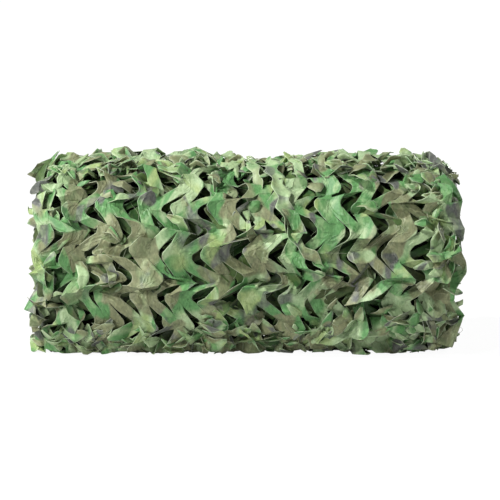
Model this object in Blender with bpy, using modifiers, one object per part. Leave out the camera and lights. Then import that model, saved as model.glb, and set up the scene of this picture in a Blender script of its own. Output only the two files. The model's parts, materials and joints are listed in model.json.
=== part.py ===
"""Rolled camouflage netting: a leaf-cut cloth wound into a roll that lies on its side.

Frame: metres, +Z up, +X along the roll's axis. The origin is on the surface that
the roll lies on, under the middle of its length.

The cloth is one piece, wound. Two solids stand for it:
- wound_roll, the form of all the inner turns, with the turns' edges as ridges that
  spiral on both ends, soft shoulders and a flat spot underneath;
- outer_turn, the loose last turn, a sheet that leaves the roll under its back edge,
  goes over the top and down the front, with every leaf cut through and every leaf
  lifted.

Angles about the axis run from the bottom (0) by the back, the top (half a turn) and
the front.
"""

import math
import random

import bmesh
import bpy
from mathutils import Vector, noise

MM = 0.001
TURN = 2.0 * math.pi

# ------------------------------------------------------------------ the roll
CORE_LENGTH = 512 * MM        # over the two end faces of the inner turns
CORE_HALF_DEPTH = 117.5 * MM  # front to back
CORE_HALF_HEIGHT = 120 * MM   # before the flat spot is pressed in
SQUARENESS = 2.2              # 2 is a circle, more is a rounder square
FLAT_SPOT_DEPTH = 8.5 * MM
AXIS_HEIGHT = CORE_HALF_HEIGHT - FLAT_SPOT_DEPTH
ROLL_SHIFT = -6 * MM          # centres the whole, since the leaves spread at +X
SHOULDER = 26 * MM            # radius where the side turns into an end
CORE_SEGMENTS = 44            # around the roll
END_RINGS = 12                # from the middle of an end to its shoulder
SHOULDER_RINGS = 3
SIDE_RINGS = 12
TURN_PITCH = 23 * MM          # from one fold of the wound strip to the next
FOLD_RIDGE = 6.5 * MM         # how far the folds stand out of an end, either way
END_UNEVENNESS = 4 * MM
SIDE_UNEVENNESS = 1.6 * MM

# How the roll's girth changes along its axis: it is drawn in at the middle.
GIRTH_COLUMNS = ("x", "top", "bottom")
GIRTH_ROWS_MM = (
    (-235, -4.5, -3.0),
    (-180, 0.0, 0.0),
    (-115, 1.5, 0.5),
    (-45, 0.5, 0.0),
    (15, -5.5, -5.5),
    (70, 0.5, 0.0),
    (190, 1.5, 1.0),
    (240, -6.0, -5.0),
)

# ------------------------------------------------------------ the leaf cutting
LEAF_PITCH = 45 * MM          # from one cut to the next in a row
ROW_PITCH = 28.8 * MM         # from one row of cuts to the next
HALF_CUT = 0.725              # half a cut's height, in row pitches
COLUMNS = 12                  # leaf pitches across the strip
ROWS = 21                     # rows of cuts on the loose turn
CUT_OPENING = 9.5 * MM        # width of a gap at its middle
TONGUE_SHARE = 0.72           # part of the opening that the leaf's tip gives way
CLOTH_THICKNESS = 1.5 * MM    # cloth with its coating, backing threads and creases

# ------------------------------------------------------------ the loose turn
TURN_START = math.radians(31)     # where it leaves the roll, behind the flat spot
TURN_CLEARANCE = 2.5 * MM         # between the inner turns and the loose turn
TURN_RADIUS = 122.5 * MM          # mean radius that its length is measured on
TURN_LENGTH = ROW_PITCH * (ROWS + 1)
SEAM_CLEARANCE = 0.5 * MM         # where it comes out of the roll
SEAM_RUN = 1.2                    # row pitches that it takes to lift to its clearance
LEAF_LIFT = (2.5 * MM, 9.0 * MM)  # least and most that a leaf's tip stands up
LIP_LIFT = (0.0 * MM, 2.2 * MM)   # the edge across the gap from it
CREASE = 1.6 * MM                 # unevenness of the sheet between the cuts
FLOOR_CLEARANCE = 1.2 * MM
STRAIGHT_HALF = 240 * MM          # half the width that lies straight along the roll
LEFT_CURL = 27 * MM               # radius of its bend over the left shoulder
RIGHT_CURL = 52 * MM              # and over the right, where the leaves spread

# A pleat crosses the loose turn: it runs from the top, near the middle, down to
# the front, and its cloth stands up along that line.
PLEAT_TOP = (-4 * MM, math.radians(190))
PLEAT_FOOT = (70 * MM, math.radians(258))
PLEAT_LIFT = 7 * MM
PLEAT_HALF_WIDTH = 10 * MM

LIGHT_GREEN = (0.33, 0.44, 0.24, 1.0)
DARK_GREEN = (0.10, 0.15, 0.06, 1.0)


def clear_scene():
    for thing in list(bpy.data.objects):
        bpy.data.objects.remove(thing, do_unlink=True)


def new_collection(name):
    collection = bpy.data.collections.new(name)
    bpy.context.scene.collection.children.link(collection)
    return collection


def cloth_material(name, colour):
    """Matt coated polyester."""
    material = bpy.data.materials.new(name)
    material.use_nodes = True
    shader = material.node_tree.nodes["Principled BSDF"]
    shader.inputs["Base Color"].default_value = colour
    shader.inputs["Roughness"].default_value = 0.62
    shader.inputs["Metallic"].default_value = 0.0
    return material


def between(low, high, share):
    return low + (high - low) * share


def smooth_step(value, low, high):
    share = min(max((value - low) / (high - low), 0.0), 1.0)
    return share * share * (3.0 - 2.0 * share)


def unevenness(x, y, z, size):
    """Smooth random value from -1 to 1 that changes over the given size."""
    return noise.noise(Vector((x, y, z)) / size)


def girth_change(x, angle):
    """How much the roll's radius differs at this place, from the table above."""
    rows = [dict(zip(GIRTH_COLUMNS, row)) for row in GIRTH_ROWS_MM]
    x_mm = min(max(x / MM, rows[0]["x"]), rows[-1]["x"])
    for left, right in zip(rows, rows[1:]):
        if x_mm <= right["x"]:
            break
    share = smooth_step(x_mm, left["x"], right["x"])
    top = between(left["top"], right["top"], share)
    bottom = between(left["bottom"], right["bottom"], share)
    return MM * between(bottom, top, 0.5 - 0.5 * math.cos(angle))


def section_radius(x, angle):
    """Radius of the wound turns: a rounded oval, drawn in along the axis."""
    across = abs(math.sin(angle)) / CORE_HALF_DEPTH
    upright = abs(math.cos(angle)) / CORE_HALF_HEIGHT
    oval = (across ** SQUARENESS + upright ** SQUARENESS) ** (-1.0 / SQUARENESS)
    return oval + girth_change(x, angle)


def place(x, angle, radius):
    """World place of a point given about the roll's axis."""
    y = radius * math.sin(angle)
    return Vector((x + ROLL_SHIFT, y, AXIS_HEIGHT - radius * math.cos(angle)))


def core_ring(ring, rings):
    """Profile of the inner turns: where along the axis a ring lies, how far inside
    the side's radius, and what share of the end face's ridges it shows."""
    from_end = min(ring, rings - ring)
    side = -1.0 if ring * 2 < rings else 1.0
    half = CORE_LENGTH / 2
    if from_end <= END_RINGS:
        return side * half, None, from_end / END_RINGS
    if from_end <= END_RINGS + SHOULDER_RINGS:
        bend = (from_end - END_RINGS) / SHOULDER_RINGS * math.pi / 2
        x = half - SHOULDER * (1.0 - math.cos(bend))
        return side * x, SHOULDER * (1.0 - math.sin(bend)), 0.0
    straight = half - SHOULDER
    share = (ring - END_RINGS - SHOULDER_RINGS) / SIDE_RINGS
    return between(-straight, straight, share), 0.0, 0.0


def wound_roll(collection, material):
    """The inner turns. A sphere's rings are laid out as the roll's profile: from
    the middle of one end, over its shoulder, along the side to the other end."""
    rings = 2 * (END_RINGS + SHOULDER_RINGS) + SIDE_RINGS
    bm = bmesh.new()
    bmesh.ops.create_uvsphere(bm, u_segments=CORE_SEGMENTS, v_segments=rings, radius=1.0)
    for vertex in bm.verts:
        polar = math.acos(min(max(-vertex.co.z, -1.0), 1.0))
        ring = round(polar / math.pi * rings)
        angle = math.atan2(vertex.co.y, vertex.co.x) % TURN
        x, inset, share = core_ring(ring, rings)
        outer = section_radius(x, angle)
        if inset is None:
            radius = share * (outer - SHOULDER)
            fold = math.cos(TURN * radius / TURN_PITCH - math.copysign(angle, x))
            stands = FOLD_RIDGE * fold * smooth_step(share, 0.0, 0.12)
            stands += END_UNEVENNESS * unevenness(x, radius * math.cos(angle),
                                                  radius * math.sin(angle), 35 * MM)
            stands *= 1.0 - smooth_step(share, 0.85, 1.0)
            x += math.copysign(stands, x)
        else:
            radius = outer - inset
            radius += SIDE_UNEVENNESS * (unevenness(x, 0.1 * math.cos(angle),
                                                    0.1 * math.sin(angle), 40 * MM) - 0.6)
        vertex.co = place(x, angle, radius)
        vertex.co.z = max(vertex.co.z, 0.0)
    bmesh.ops.recalc_face_normals(bm, faces=bm.faces)
    return finished(bm, "wound_roll", collection, material)


def zigzag(v):
    """The cuts follow this line across the strip: it leans one way for a row pitch,
    then back, so that cuts point left and right by turns."""
    phase = (v / ROW_PITCH) % 2.0
    return ROW_PITCH * (0.5 - abs(phase - 1.0))


def level_height(level):
    """Distance along the cloth of a line of the grid. There are three to a row:
    through the cuts' middles, through the tips of the next row's cuts, and through
    the tips of this row's."""
    row, step = divmod(level, 3)
    return ROW_PITCH * (row + (0.0, 1.0 - HALF_CUT, HALF_CUT)[step])


def cut_of(column, level):
    """Row of the cut that runs through this point of the grid, if there is one, and
    how far along the cut it lies, from -1 at one tip to 1 at the other."""
    row = round(level / 3)
    for candidate in (row - 1, row, row + 1):
        if not 1 <= candidate <= ROWS or (column + candidate) % 2:
            continue
        along = (level_height(level) / ROW_PITCH - candidate) / HALF_CUT
        if abs(along) < 1.001:
            return candidate, along
    return None, 0.0


def cut_grid():
    """A flat grid, a column for each half leaf, slit open along every cut. Returns
    the mesh with each vertex's column, level and side of its cut."""
    columns, levels = 2 * COLUMNS, 3 * (ROWS + 1)
    bm = bmesh.new()
    column_of = bm.verts.layers.int.new("column")
    level_of = bm.verts.layers.int.new("level")
    bmesh.ops.create_grid(bm, x_segments=columns, y_segments=levels, size=1.0)
    for vertex in bm.verts:
        vertex[column_of] = round((vertex.co.x + 1.0) / 2.0 * columns)
        vertex[level_of] = round((vertex.co.y + 1.0) / 2.0 * levels)
        vertex.co = (vertex[column_of], vertex[level_of], 0.0)

    def is_cut(edge):
        a, b = edge.verts
        column = a[column_of]
        if column != b[column_of] or column in (0, columns):
            return False
        row_a, _ = cut_of(column, a[level_of])
        row_b, _ = cut_of(column, b[level_of])
        return row_a is not None and row_a == row_b

    bmesh.ops.split_edges(bm, edges=[edge for edge in bm.edges if is_cut(edge)])
    sides = {}
    for vertex in bm.verts:
        middles = [face.calc_center_median().x for face in vertex.link_faces]
        lean = sum(middles) / len(middles) - vertex.co.x
        inside = 0 < vertex[column_of] < columns
        sides[vertex] = int(math.copysign(1, lean)) if inside and abs(lean) > 0.2 else 0
    return bm, column_of, level_of, sides


def pleat_height(x, angle):
    """How far the pleat lifts the cloth here: a soft ridge along a straight line."""
    reach = CORE_HALF_DEPTH
    top = Vector((PLEAT_TOP[0], PLEAT_TOP[1] * reach))
    foot = Vector((PLEAT_FOOT[0], PLEAT_FOOT[1] * reach))
    here = Vector((x, angle * reach)) - top
    run = (foot - top).normalized()
    along = here.dot(run) / (foot - top).length
    aside = (here - run * here.dot(run)).length
    ends = smooth_step(along, -0.15, 0.15) * (1.0 - smooth_step(along, 0.8, 1.2))
    return PLEAT_LIFT * ends * math.exp(-(aside / PLEAT_HALF_WIDTH) ** 2)


def wrapped(across, v, lift):
    """Lays a point of the flat cloth round the roll. Past the straight part of its
    width the cloth bends over a shoulder."""
    angle = TURN_START + v / TURN_RADIUS
    left_seam = smooth_step(v, 0.0, SEAM_RUN * ROW_PITCH)
    near_end = smooth_step(TURN_LENGTH - v, -ROW_PITCH, 1.5 * ROW_PITCH)
    lift *= min(left_seam, near_end)

    past = max(abs(across) - STRAIGHT_HALF, 0.0)
    curl = LEFT_CURL if across < 0 else RIGHT_CURL
    bend = min(past / curl, math.pi / 2)
    reach = min(abs(across), STRAIGHT_HALF) + (curl + lift) * math.sin(bend)
    x = math.copysign(reach, across)

    radius = section_radius(x, angle) + CLOTH_THICKNESS / 2
    radius += between(SEAM_CLEARANCE, TURN_CLEARANCE, left_seam)
    radius += pleat_height(x, angle) + lift * math.cos(bend)
    radius -= curl * (1.0 - math.cos(bend))
    point = place(x, angle, radius)
    point.z = max(point.z, FLOOR_CLEARANCE + CLOTH_THICKNESS / 2)
    return point


def outer_turn(collection, material):
    """The loose last turn of leaf-cut cloth, every gap cut through."""
    chance = random.Random(11)
    tips, lips, pulls = {}, {}, {}
    for row in range(1, ROWS + 1):
        for column in range(2 * COLUMNS + 1):
            tips[row, column] = between(*LEAF_LIFT, chance.random() ** 1.4)
            lips[row, column] = between(*LIP_LIFT, chance.random())
            pulls[row, column] = between(0.55, 1.15, chance.random())

    bm, column_of, level_of, sides = cut_grid()
    places = {}
    for vertex in bm.verts:
        column, level, side = vertex[column_of], vertex[level_of], sides[vertex]
        v = level_height(level)
        across = (column / 2 - COLUMNS / 2) * LEAF_PITCH + zigzag(v)
        lift = CREASE * abs(unevenness(column * 0.7, level * 0.9, 3.0, 1.0))
        if side:
            row, along = cut_of(column, level)
            points_to = 1 if row % 2 else -1
            is_tip = side == -points_to
            open_here = (1.0 - along * along) * pulls[row, column]
            give = TONGUE_SHARE if is_tip else 1.0 - TONGUE_SHARE
            across += side * give * CUT_OPENING * open_here
            stands = tips[row, column] if is_tip else lips[row, column]
            lift += stands * (1.0 - abs(along) ** 1.5)
        places[vertex] = wrapped(across, v, lift)
    for vertex, point in places.items():
        vertex.co = point
    bmesh.ops.recalc_face_normals(bm, faces=bm.faces)
    probe = max(bm.faces, key=lambda face: face.calc_center_median().z)
    if probe.normal.z < 0.0:
        bmesh.ops.reverse_faces(bm, faces=bm.faces)
    turn = finished(bm, "outer_turn", collection, material)
    thick = turn.modifiers.new("cloth", "SOLIDIFY")
    thick.thickness = CLOTH_THICKNESS
    thick.offset = 0.0
    return turn


def finished(bm, name, collection, material):
    mesh = bpy.data.meshes.new(name)
    bm.to_mesh(mesh)
    bm.free()
    mesh.materials.append(material)
    thing = bpy.data.objects.new(name, mesh)
    collection.objects.link(thing)
    return thing


def main():
    clear_scene()
    netting = new_collection("camouflage_netting")
    wound_roll(netting, cloth_material("inner_cloth", DARK_GREEN))
    outer_turn(netting, cloth_material("leaf_cloth", LIGHT_GREEN))


main()
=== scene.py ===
# %% [markdown]
# # A rolled camouflage net
# A camouflage net is one large cloth of coated polyester, printed in woodland colours.
# Rows of bent cuts turn it into leaves: the cloth stays in one piece, but every leaf has
# a free tip that curls up. This net is folded to a strip and wound into a roll that lies
# on its side. A drum with a bumpy surface could stand for it, but no leaf would lift off
# such a drum or throw shade into a gap. So the frame holds the roll's plain form, and
# this script dresses it: each turn that shows becomes a sheet of real leaves.

# %% Load the frame
import json
from types import SimpleNamespace

import bpy
import numpy as np
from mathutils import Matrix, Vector

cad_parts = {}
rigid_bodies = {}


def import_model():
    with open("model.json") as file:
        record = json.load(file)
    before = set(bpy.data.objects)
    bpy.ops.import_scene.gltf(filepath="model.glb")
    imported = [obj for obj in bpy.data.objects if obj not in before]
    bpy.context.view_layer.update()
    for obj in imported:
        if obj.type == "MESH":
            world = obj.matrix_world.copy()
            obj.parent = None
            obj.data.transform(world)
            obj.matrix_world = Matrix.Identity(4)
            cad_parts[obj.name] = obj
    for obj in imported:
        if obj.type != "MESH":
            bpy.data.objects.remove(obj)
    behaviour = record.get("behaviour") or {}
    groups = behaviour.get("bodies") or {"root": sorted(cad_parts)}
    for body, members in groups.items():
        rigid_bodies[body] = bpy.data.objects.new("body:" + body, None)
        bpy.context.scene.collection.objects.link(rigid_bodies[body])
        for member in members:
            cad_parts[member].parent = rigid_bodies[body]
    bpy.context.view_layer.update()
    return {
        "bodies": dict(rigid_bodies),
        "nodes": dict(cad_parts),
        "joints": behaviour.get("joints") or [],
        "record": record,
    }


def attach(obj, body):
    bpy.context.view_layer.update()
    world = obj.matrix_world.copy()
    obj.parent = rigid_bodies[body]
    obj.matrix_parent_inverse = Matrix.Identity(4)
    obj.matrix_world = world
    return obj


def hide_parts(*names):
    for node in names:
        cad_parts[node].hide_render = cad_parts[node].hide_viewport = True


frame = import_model()
print("the frame gives", sorted(frame))

# %% [markdown]
# ## The roll's sizes
# The roll is a rounded oval drawn out along X, and it lies on the floor at z = 0. All
# lengths are in metres, and MM turns millimetres into them. The sizes stand in one place
# because every layer of cloth is laid on the same oval.

# %% Sizes of the roll
MM = 0.001
TURN = 2 * np.pi

HALF_DEPTH = 117.5 * MM
HALF_HEIGHT = 120 * MM
SQUARENESS = 2.2                # the oval's power: an ellipse has 2, a square many more
AXIS_HEIGHT = 111.5 * MM        # of the roll's axis over the floor
ROLL_SHIFT = -6 * MM            # of the roll's middle along X
TURN_GAP = 3.25 * MM            # from the inner turns to the middle of the loose turn
print("oval of the inner turns", 2 * HALF_DEPTH, "deep", 2 * HALF_HEIGHT, "high")

# %% [markdown]
# ## Camera
# The roll is seen from its long side and from a little above. A short lens close by would
# make the near leaves larger than the far ones, so a long lens stands well back, and the
# two ends hardly converge. Colours go through the plain Standard view transform, because
# a filmic one would grey the white surround.

# %% Camera
CAMERA_RISE = np.radians(9)
CAMERA_DISTANCE = 2.42
LENS = 135                      # focal length in millimetres
SENSOR = 36                     # width in millimetres
LOOK_AT = np.array([0.001, 0.0, 0.1195])


def aimed(thing, place, target):
    """Puts a camera or lamp at a place and turns its -Z towards a target."""
    thing.location = Vector(place)
    away = Vector(target) - thing.location
    thing.rotation_euler = away.to_track_quat("-Z", "Y").to_euler()


scene = bpy.context.scene
scene.view_settings.view_transform = "Standard"
camera = bpy.data.objects.new("camera", bpy.data.cameras.new("camera"))
scene.collection.objects.link(camera)
camera.data.lens = LENS
camera.data.sensor_width = SENSOR
back = np.array([0, -np.cos(CAMERA_RISE), np.sin(CAMERA_RISE)])
aimed(camera, LOOK_AT + back * CAMERA_DISTANCE, LOOK_AT)
scene.camera = camera
print("camera at", [round(value, 3) for value in camera.location])

# %% [markdown]
# ## Lamps
# The light is that of a white studio. Only soft lamps would leave the leaves flat, so the
# key is small and stands high on the left: it draws a crisp shade under every leaf. Wide
# soft lamps from the right, from the far end and from behind keep the dark sides open, and
# a round lamp close to the left end makes that end the brightest.

# %% Lamps
SUNS = (
    # name, place that it shines from, degrees across, watts a square metre
    ("key", (-1.45, -0.58, 2.3), 2, 3.2),
    ("fill", (1.6, -1.6, 0.6), 60, 0.1),
    ("end", (1.5, 0.6, 0.5), 40, 0.9),
    ("back", (0.6, 1.8, 0.3), 30, 1.7),
)
SIDE_PLACE = (-0.85, -0.95, 0.7)
SIDE_AIM = (-0.1, 0, 0.1)
SIDE_WATTS = 12.0
SIDE_ACROSS = 0.3


def new_lamp(name, kind, energy, place, target):
    """A lamp of the given kind that shines from a place to a target."""
    lamp = bpy.data.objects.new(name, bpy.data.lights.new(name, kind))
    lamp.data.energy = energy
    scene.collection.objects.link(lamp)
    aimed(lamp, place, target)
    return lamp


for name, place, degrees, energy in SUNS:
    sun = new_lamp(name, "SUN", energy, place, (0, 0, 0))
    sun.data.angle = np.radians(degrees)
side = new_lamp("side", "AREA", SIDE_WATTS, SIDE_PLACE, SIDE_AIM)
side.data.shape = "DISK"
side.data.size = SIDE_ACROSS
print(len(SUNS), "suns and a round lamp,", SIDE_WATTS, "W")

# %% [markdown]
# ## Surround
# The surround has to look pure white, but as strong a light it would wash the shade out
# of the gaps. The Light Path node tells the two uses apart: a ray from the camera meets
# full white, and every other ray meets a weak one.

# %% Surround
SURROUND_LIGHT = 0.08           # strength for every ray but the camera's
SURROUND_SEEN = 1.0

world = bpy.data.worlds.new("studio")
world.use_nodes = True
background = world.node_tree.nodes["Background"]
background.inputs["Color"].default_value = (1, 1, 1, 1)
light_path = world.node_tree.nodes.new("ShaderNodeLightPath")
strength = world.node_tree.nodes.new("ShaderNodeMapRange")
strength.inputs["To Min"].default_value = SURROUND_LIGHT
strength.inputs["To Max"].default_value = SURROUND_SEEN
world.node_tree.links.new(light_path.outputs["Is Camera Ray"], strength.inputs["Value"])
world.node_tree.links.new(strength.outputs["Result"], background.inputs["Strength"])
scene.world = world
print("surround lights with", SURROUND_LIGHT, "and is seen at", SURROUND_SEEN)

# %% [markdown]
# ## A mesh from whole arrays
# Every sheet here is a grid of points. Adding its faces one by one in a loop would be
# slow, so the arrays go into the mesh in one move with foreach_set. Attributes carry
# what the materials need later, such as each point's place on the flat cloth.


# %% Mesh helper
def new_mesh(name, points, quads, attributes=None):
    """A piece from an array of points (n, 3), one of quads (m, 4), and values or vectors
    that belong to each point."""
    mesh = bpy.data.meshes.new(name)
    mesh.vertices.add(len(points))
    mesh.vertices.foreach_set("co", points.astype(np.float32).ravel())
    mesh.loops.add(quads.size)
    mesh.loops.foreach_set("vertex_index", quads.astype(np.int32).ravel())
    mesh.polygons.add(len(quads))
    mesh.polygons.foreach_set("loop_start", np.arange(0, quads.size, 4, dtype=np.int32))
    mesh.update(calc_edges=True)
    mesh.validate()
    for key, values in (attributes or {}).items():
        kind = "FLOAT_VECTOR" if values.ndim == 2 else "FLOAT"
        layer = mesh.attributes.new(key, kind, "POINT")
        field = "vector" if values.ndim == 2 else "value"
        layer.data.foreach_set(field, values.astype(np.float32).ravel())
    piece = bpy.data.objects.new(name, mesh)
    scene.collection.objects.link(piece)
    print(name, len(points), "points", len(quads), "quads")
    return piece


def grid_quads(index):
    """The quads of a grid of point numbers (..., rows, columns): each takes the four
    numbers about one cell, and faces the side that the points turn round."""
    corners = (index[..., :-1, :-1], index[..., 1:, :-1],
               index[..., 1:, 1:], index[..., :-1, 1:])
    return np.stack(corners, axis=-1).reshape(-1, 4)


# %% [markdown]
# ## Noise
# Cloth is never even. Random numbers for every point would only roughen it, so they sit
# at the corners of a coarse grid and are blended in between: the same place always has
# the same value, and the size of the grid sets the size of the waves.


# %% Noise
def hashed(i, j, k, seed):
    """A number from -1 to 1 for every corner (i, j, k) of the grid: the whole numbers are
    multiplied by large primes, and their bits are mixed."""
    n = (i * 374761393 + j * 668265263 + k * 2147483647 + seed * 144269504) & 0xFFFFFFFF
    n = ((n ^ (n >> 13)) * 1274126177) & 0xFFFFFFFF
    n = ((n ^ (n >> 15)) * 2246822519) & 0xFFFFFFFF
    return ((n ^ (n >> 16)) & 0xFFFFFF) / float(0x7FFFFF) - 1.0


def noise(points, size, seed=0):
    """Smooth noise from -1 to 1 that changes over a given size: the eight corner values
    are blended with t*t*(3 - 2*t) along each axis."""
    places = np.asarray(points) / size
    cell = np.floor(places).astype(np.int64)
    t = places - cell
    t = t * t * (3 - 2 * t)
    i, j, k = (cell[..., axis] for axis in range(3))
    total = 0.0
    for di in (0, 1):
        for dj in (0, 1):
            for dk in (0, 1):
                share = ((t[..., 0] if di else 1 - t[..., 0])
                         * (t[..., 1] if dj else 1 - t[..., 1])
                         * (t[..., 2] if dk else 1 - t[..., 2]))
                total = total + share * hashed(i + di, j + dj, k + dk, seed)
    return total


def smooth_step(value, low, high):
    """0 below low, 1 above high, and 3t^2 - 2t^3 in between."""
    t = np.clip((value - low) / (high - low), 0, 1)
    return t * t * (3 - 2 * t)


print("noise at the middle", noise(np.zeros((1, 3)), MM))

# %% [markdown]
# ## Crumpled facets
# Coated cloth doesn't ripple softly. It breaks into flat facets with sharp creases
# between them, like paper. Smooth noise can't give that, so this noise joins random
# heights by flat triangles, on a grid that is bent to hide its straight lines.

# %% Facet noise
GRID_BEND = 0.45                # how far the grid is bent, in cells


def facets(u, v, size, seed=0):
    """Crumpled-paper noise from -1 to 1: random heights at the corners of a grid of
    triangles, joined by flat facets: h0 + s (h1 - h0) + t (h2 - h0) in each."""
    flat = np.stack([u, v, np.full_like(u, seed * 1.7)], axis=-1)
    a = (u + GRID_BEND * size * noise(flat, size * 1.6, seed + 31)) / size
    b = (v + GRID_BEND * size * noise(flat, size * 1.6, seed + 47)) / size
    a = a + 0.5 * b
    i = np.floor(a).astype(np.int64)
    j = np.floor(b).astype(np.int64)
    s = a - i
    t = b - j
    near = hashed(i, j, 0, seed)
    far = hashed(i + 1, j + 1, 0, seed)
    right = hashed(i + 1, j, 0, seed)
    up = hashed(i, j + 1, 0, seed)
    lower = near + s * (right - near) + t * (up - near)
    upper = far + (1 - s) * (up - far) + (1 - t) * (right - far)
    return np.where(s + t < 1, lower, upper)


print("facet heights", facets(np.arange(3) * MM, np.zeros(3), MM))

# %% [markdown]
# ## The form of the wound roll
# Seen from an end, the roll is a rounded oval: |y/a|^n + |z/b|^n = 1 with n a little over
# two, because a loose roll sags to that. Angles run from the bottom by the back, the top
# and the front. The hands that wound it drew it in at its middle and its ends, which no
# formula gives, so stations along the axis say how the girth changes.

# %% Section of the roll
STATIONS_X = np.array([-235, -180, -115, -45, 15, 70, 190, 240]) * MM
GIRTH_TOP = np.array([-4.5, 0, 1.5, 0.5, -5.5, 0.5, 1.5, -6]) * MM
GIRTH_BOTTOM = np.array([-3, 0, 0.5, 0, -5.5, 0, 1, -5]) * MM


def girth_change(x, angle):
    """The stations above, joined by smooth steps, blended from bottom to top."""
    i = np.clip(np.searchsorted(STATIONS_X, x) - 1, 0, len(STATIONS_X) - 2)
    share = smooth_step(x, STATIONS_X[i], STATIONS_X[i + 1])
    top = GIRTH_TOP[i] + (GIRTH_TOP[i + 1] - GIRTH_TOP[i]) * share
    bottom = GIRTH_BOTTOM[i] + (GIRTH_BOTTOM[i + 1] - GIRTH_BOTTOM[i]) * share
    return bottom + (top - bottom) * (0.5 - 0.5 * np.cos(angle))


def section_radius(x, angle):
    """r = ((|sin|/a)^n + (|cos|/b)^n)^(-1/n), plus the change of girth."""
    across = np.abs(np.sin(angle)) / HALF_DEPTH
    upright = np.abs(np.cos(angle)) / HALF_HEIGHT
    oval = (across ** SQUARENESS + upright ** SQUARENESS) ** (-1 / SQUARENESS)
    return oval + girth_change(x, angle)


def around_roll(x, angle, radius):
    """Points (n, 3) from places given about the roll's axis: y = r sin, z = h - r cos."""
    y = radius * np.sin(angle)
    z = AXIS_HEIGHT - radius * np.cos(angle)
    return np.stack(np.broadcast_arrays(x + ROLL_SHIFT, y, z), axis=-1)


print("top of the inner turns", around_roll(0.0, np.pi, section_radius(0.0, np.pi)))

# %% [markdown]
# ## The lines of the cuts
# Every cut is bent like a "<" or a ">". It could be drawn as a bent line and cut out of a
# plain grid, which leaves ragged faces. Here the grid itself is bent: a zigzag shears it,
# so a straight stretch of a grid line becomes a bent cut with clean quads on both sides.

# %% Zigzag of the cuts
LEAF_PITCH = 45 * MM            # from one cut to the next, across the strip
ROW_PITCH = 28.8 * MM           # from one row of cuts to the next, along it
ZIGZAG_DEPTH = 0.58             # how far the bends reach to one side, in row pitches
ZIGZAG_ROUND = 0.993            # 1 gives sharp bends
BLUNT = 0.9                     # height at which the tips are cut off level


def zigzag(rows_along):
    """A triangle wave of period two rows and even height, its peaks blunt:
    asin(k sin) / asin(k) with k just under 1, cut off level at BLUNT of its height."""
    wave = np.arcsin(ZIGZAG_ROUND * np.sin(np.pi * (rows_along - 0.5)))
    wave = wave / np.arcsin(ZIGZAG_ROUND)
    return ZIGZAG_DEPTH * ROW_PITCH * np.clip(wave / BLUNT, -1, 1)


print("a leaf's bend reaches", zigzag(1.0) / MM, "mm")

# %% [markdown]
# ## The grid of cuts
# A cut is a stretch of a grid line, one and a half rows high. The cuts of neighbouring
# lines are staggered by a row, like bricks, and that leaves a bar of whole cloth between
# two cuts of the same line. Levels are set where the cuts end and where the leaves fold,
# so that no crease has to cross a face.

# %% Grid of cuts
HALF_CUT = 0.725                # half a cut's height, in row pitches
BAR_CREASE = 1 - HALF_CUT       # cuts of the next rows end here: the leaf folds
CUT_END = 0.999                 # the cut's very last points stay joined
FINER = 0.09                    # how much finer the cells beside a cut are


def cut_grid(half_columns, rows, cells, row_cells):
    """Lines half a pitch apart and levels along them. For each line and level it gives t,
    from -1 to 1 along the nearest cut, and tau, from -1 to 1 along the nearest bar."""
    bars = np.array([BAR_CREASE, HALF_CUT - BAR_CREASE, 1 - HALF_CUT])
    steps = np.concatenate([np.full(n, bar / n) for n, bar in zip(row_cells, bars)])
    levels = np.concatenate([[0], np.cumsum(np.tile(steps, rows + 1))])
    share = np.linspace(0, 1, cells + 1)
    share = share - FINER * np.sin(TURN * share)
    line = np.arange(half_columns + 1)[:, None]
    odd = line % 2
    cut_row = 2 * np.round((levels - odd) / 2).astype(int) + odd
    bar_row = 2 * np.round((levels - 1 + odd) / 2).astype(int) + 1 - odd
    t = (levels - cut_row) / HALF_CUT
    inner = (line > 0) & (line < half_columns)
    is_cut = (np.abs(t) < CUT_END) & (cut_row >= 1) & (cut_row <= rows) & inner
    lines = np.broadcast_to(line, cut_row.shape)
    return SimpleNamespace(
        half_columns=half_columns, cells=cells, levels=levels, share=share, line=line,
        t=t, tau=(levels - bar_row) / BAR_CREASE, cut_row=cut_row, inner=inner,
        is_cut=is_cut, cut=(np.clip(cut_row, 0, rows + 2), lines),
        bar=(np.clip(bar_row, 0, rows + 2), lines))


small_grid = cut_grid(4, 3, 2, (1, 1, 1))
print("a cloth of 4 half columns and 3 rows has", int(small_grid.is_cut.sum()), "cut points")

# %% [markdown]
# ## The character of each leaf
# No two leaves of a real net stand alike. Noise over the whole cloth would bend neighbours
# alike, so every leaf draws its own numbers: how far its tip stands up, how wide its gap
# is, which way it leans, and how firmly the bar behind it is held.

# %% Character of each leaf
TIP_RISE = (-1 * MM, 17 * MM)       # least and most that a tip stands up
LIP_RISE = (-3 * MM, 2 * MM)        # the edge across the gap from it
GAP_WIDTH = (5 * MM, 17 * MM)
LEAN = 0.45                         # share of its rise that a leaf has more at one end
MIDDLE_RISE = 4.0                   # of the bars, in millimetres up or down


def between(limits, share):
    """The value at a share of the way from the first limit to the second."""
    return limits[0] + (limits[1] - limits[0]) * share


def leaf_characters(rows, lines, rng):
    """Random numbers for each leaf. Tips take the 1.5th power, so that few stand high."""
    shape = (rows + 3, lines + 1)
    return SimpleNamespace(
        tip=between(TIP_RISE, rng.random(shape) ** 1.5),
        lip=between(LIP_RISE, rng.random(shape)),
        gap=between(GAP_WIDTH, rng.random(shape)),
        lean=rng.uniform(-LEAN, LEAN, shape),
        middle=rng.uniform(-1.0, 1.0, shape) * MIDDLE_RISE * MM,
        hold=np.clip(1.4 * rng.random(shape) - 0.3, 0, 1))


some_leaves = leaf_characters(3, 5, np.random.default_rng(0))
print("tips rise by", some_leaves.tip.min() / MM, "to", some_leaves.tip.max() / MM, "mm")

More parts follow.
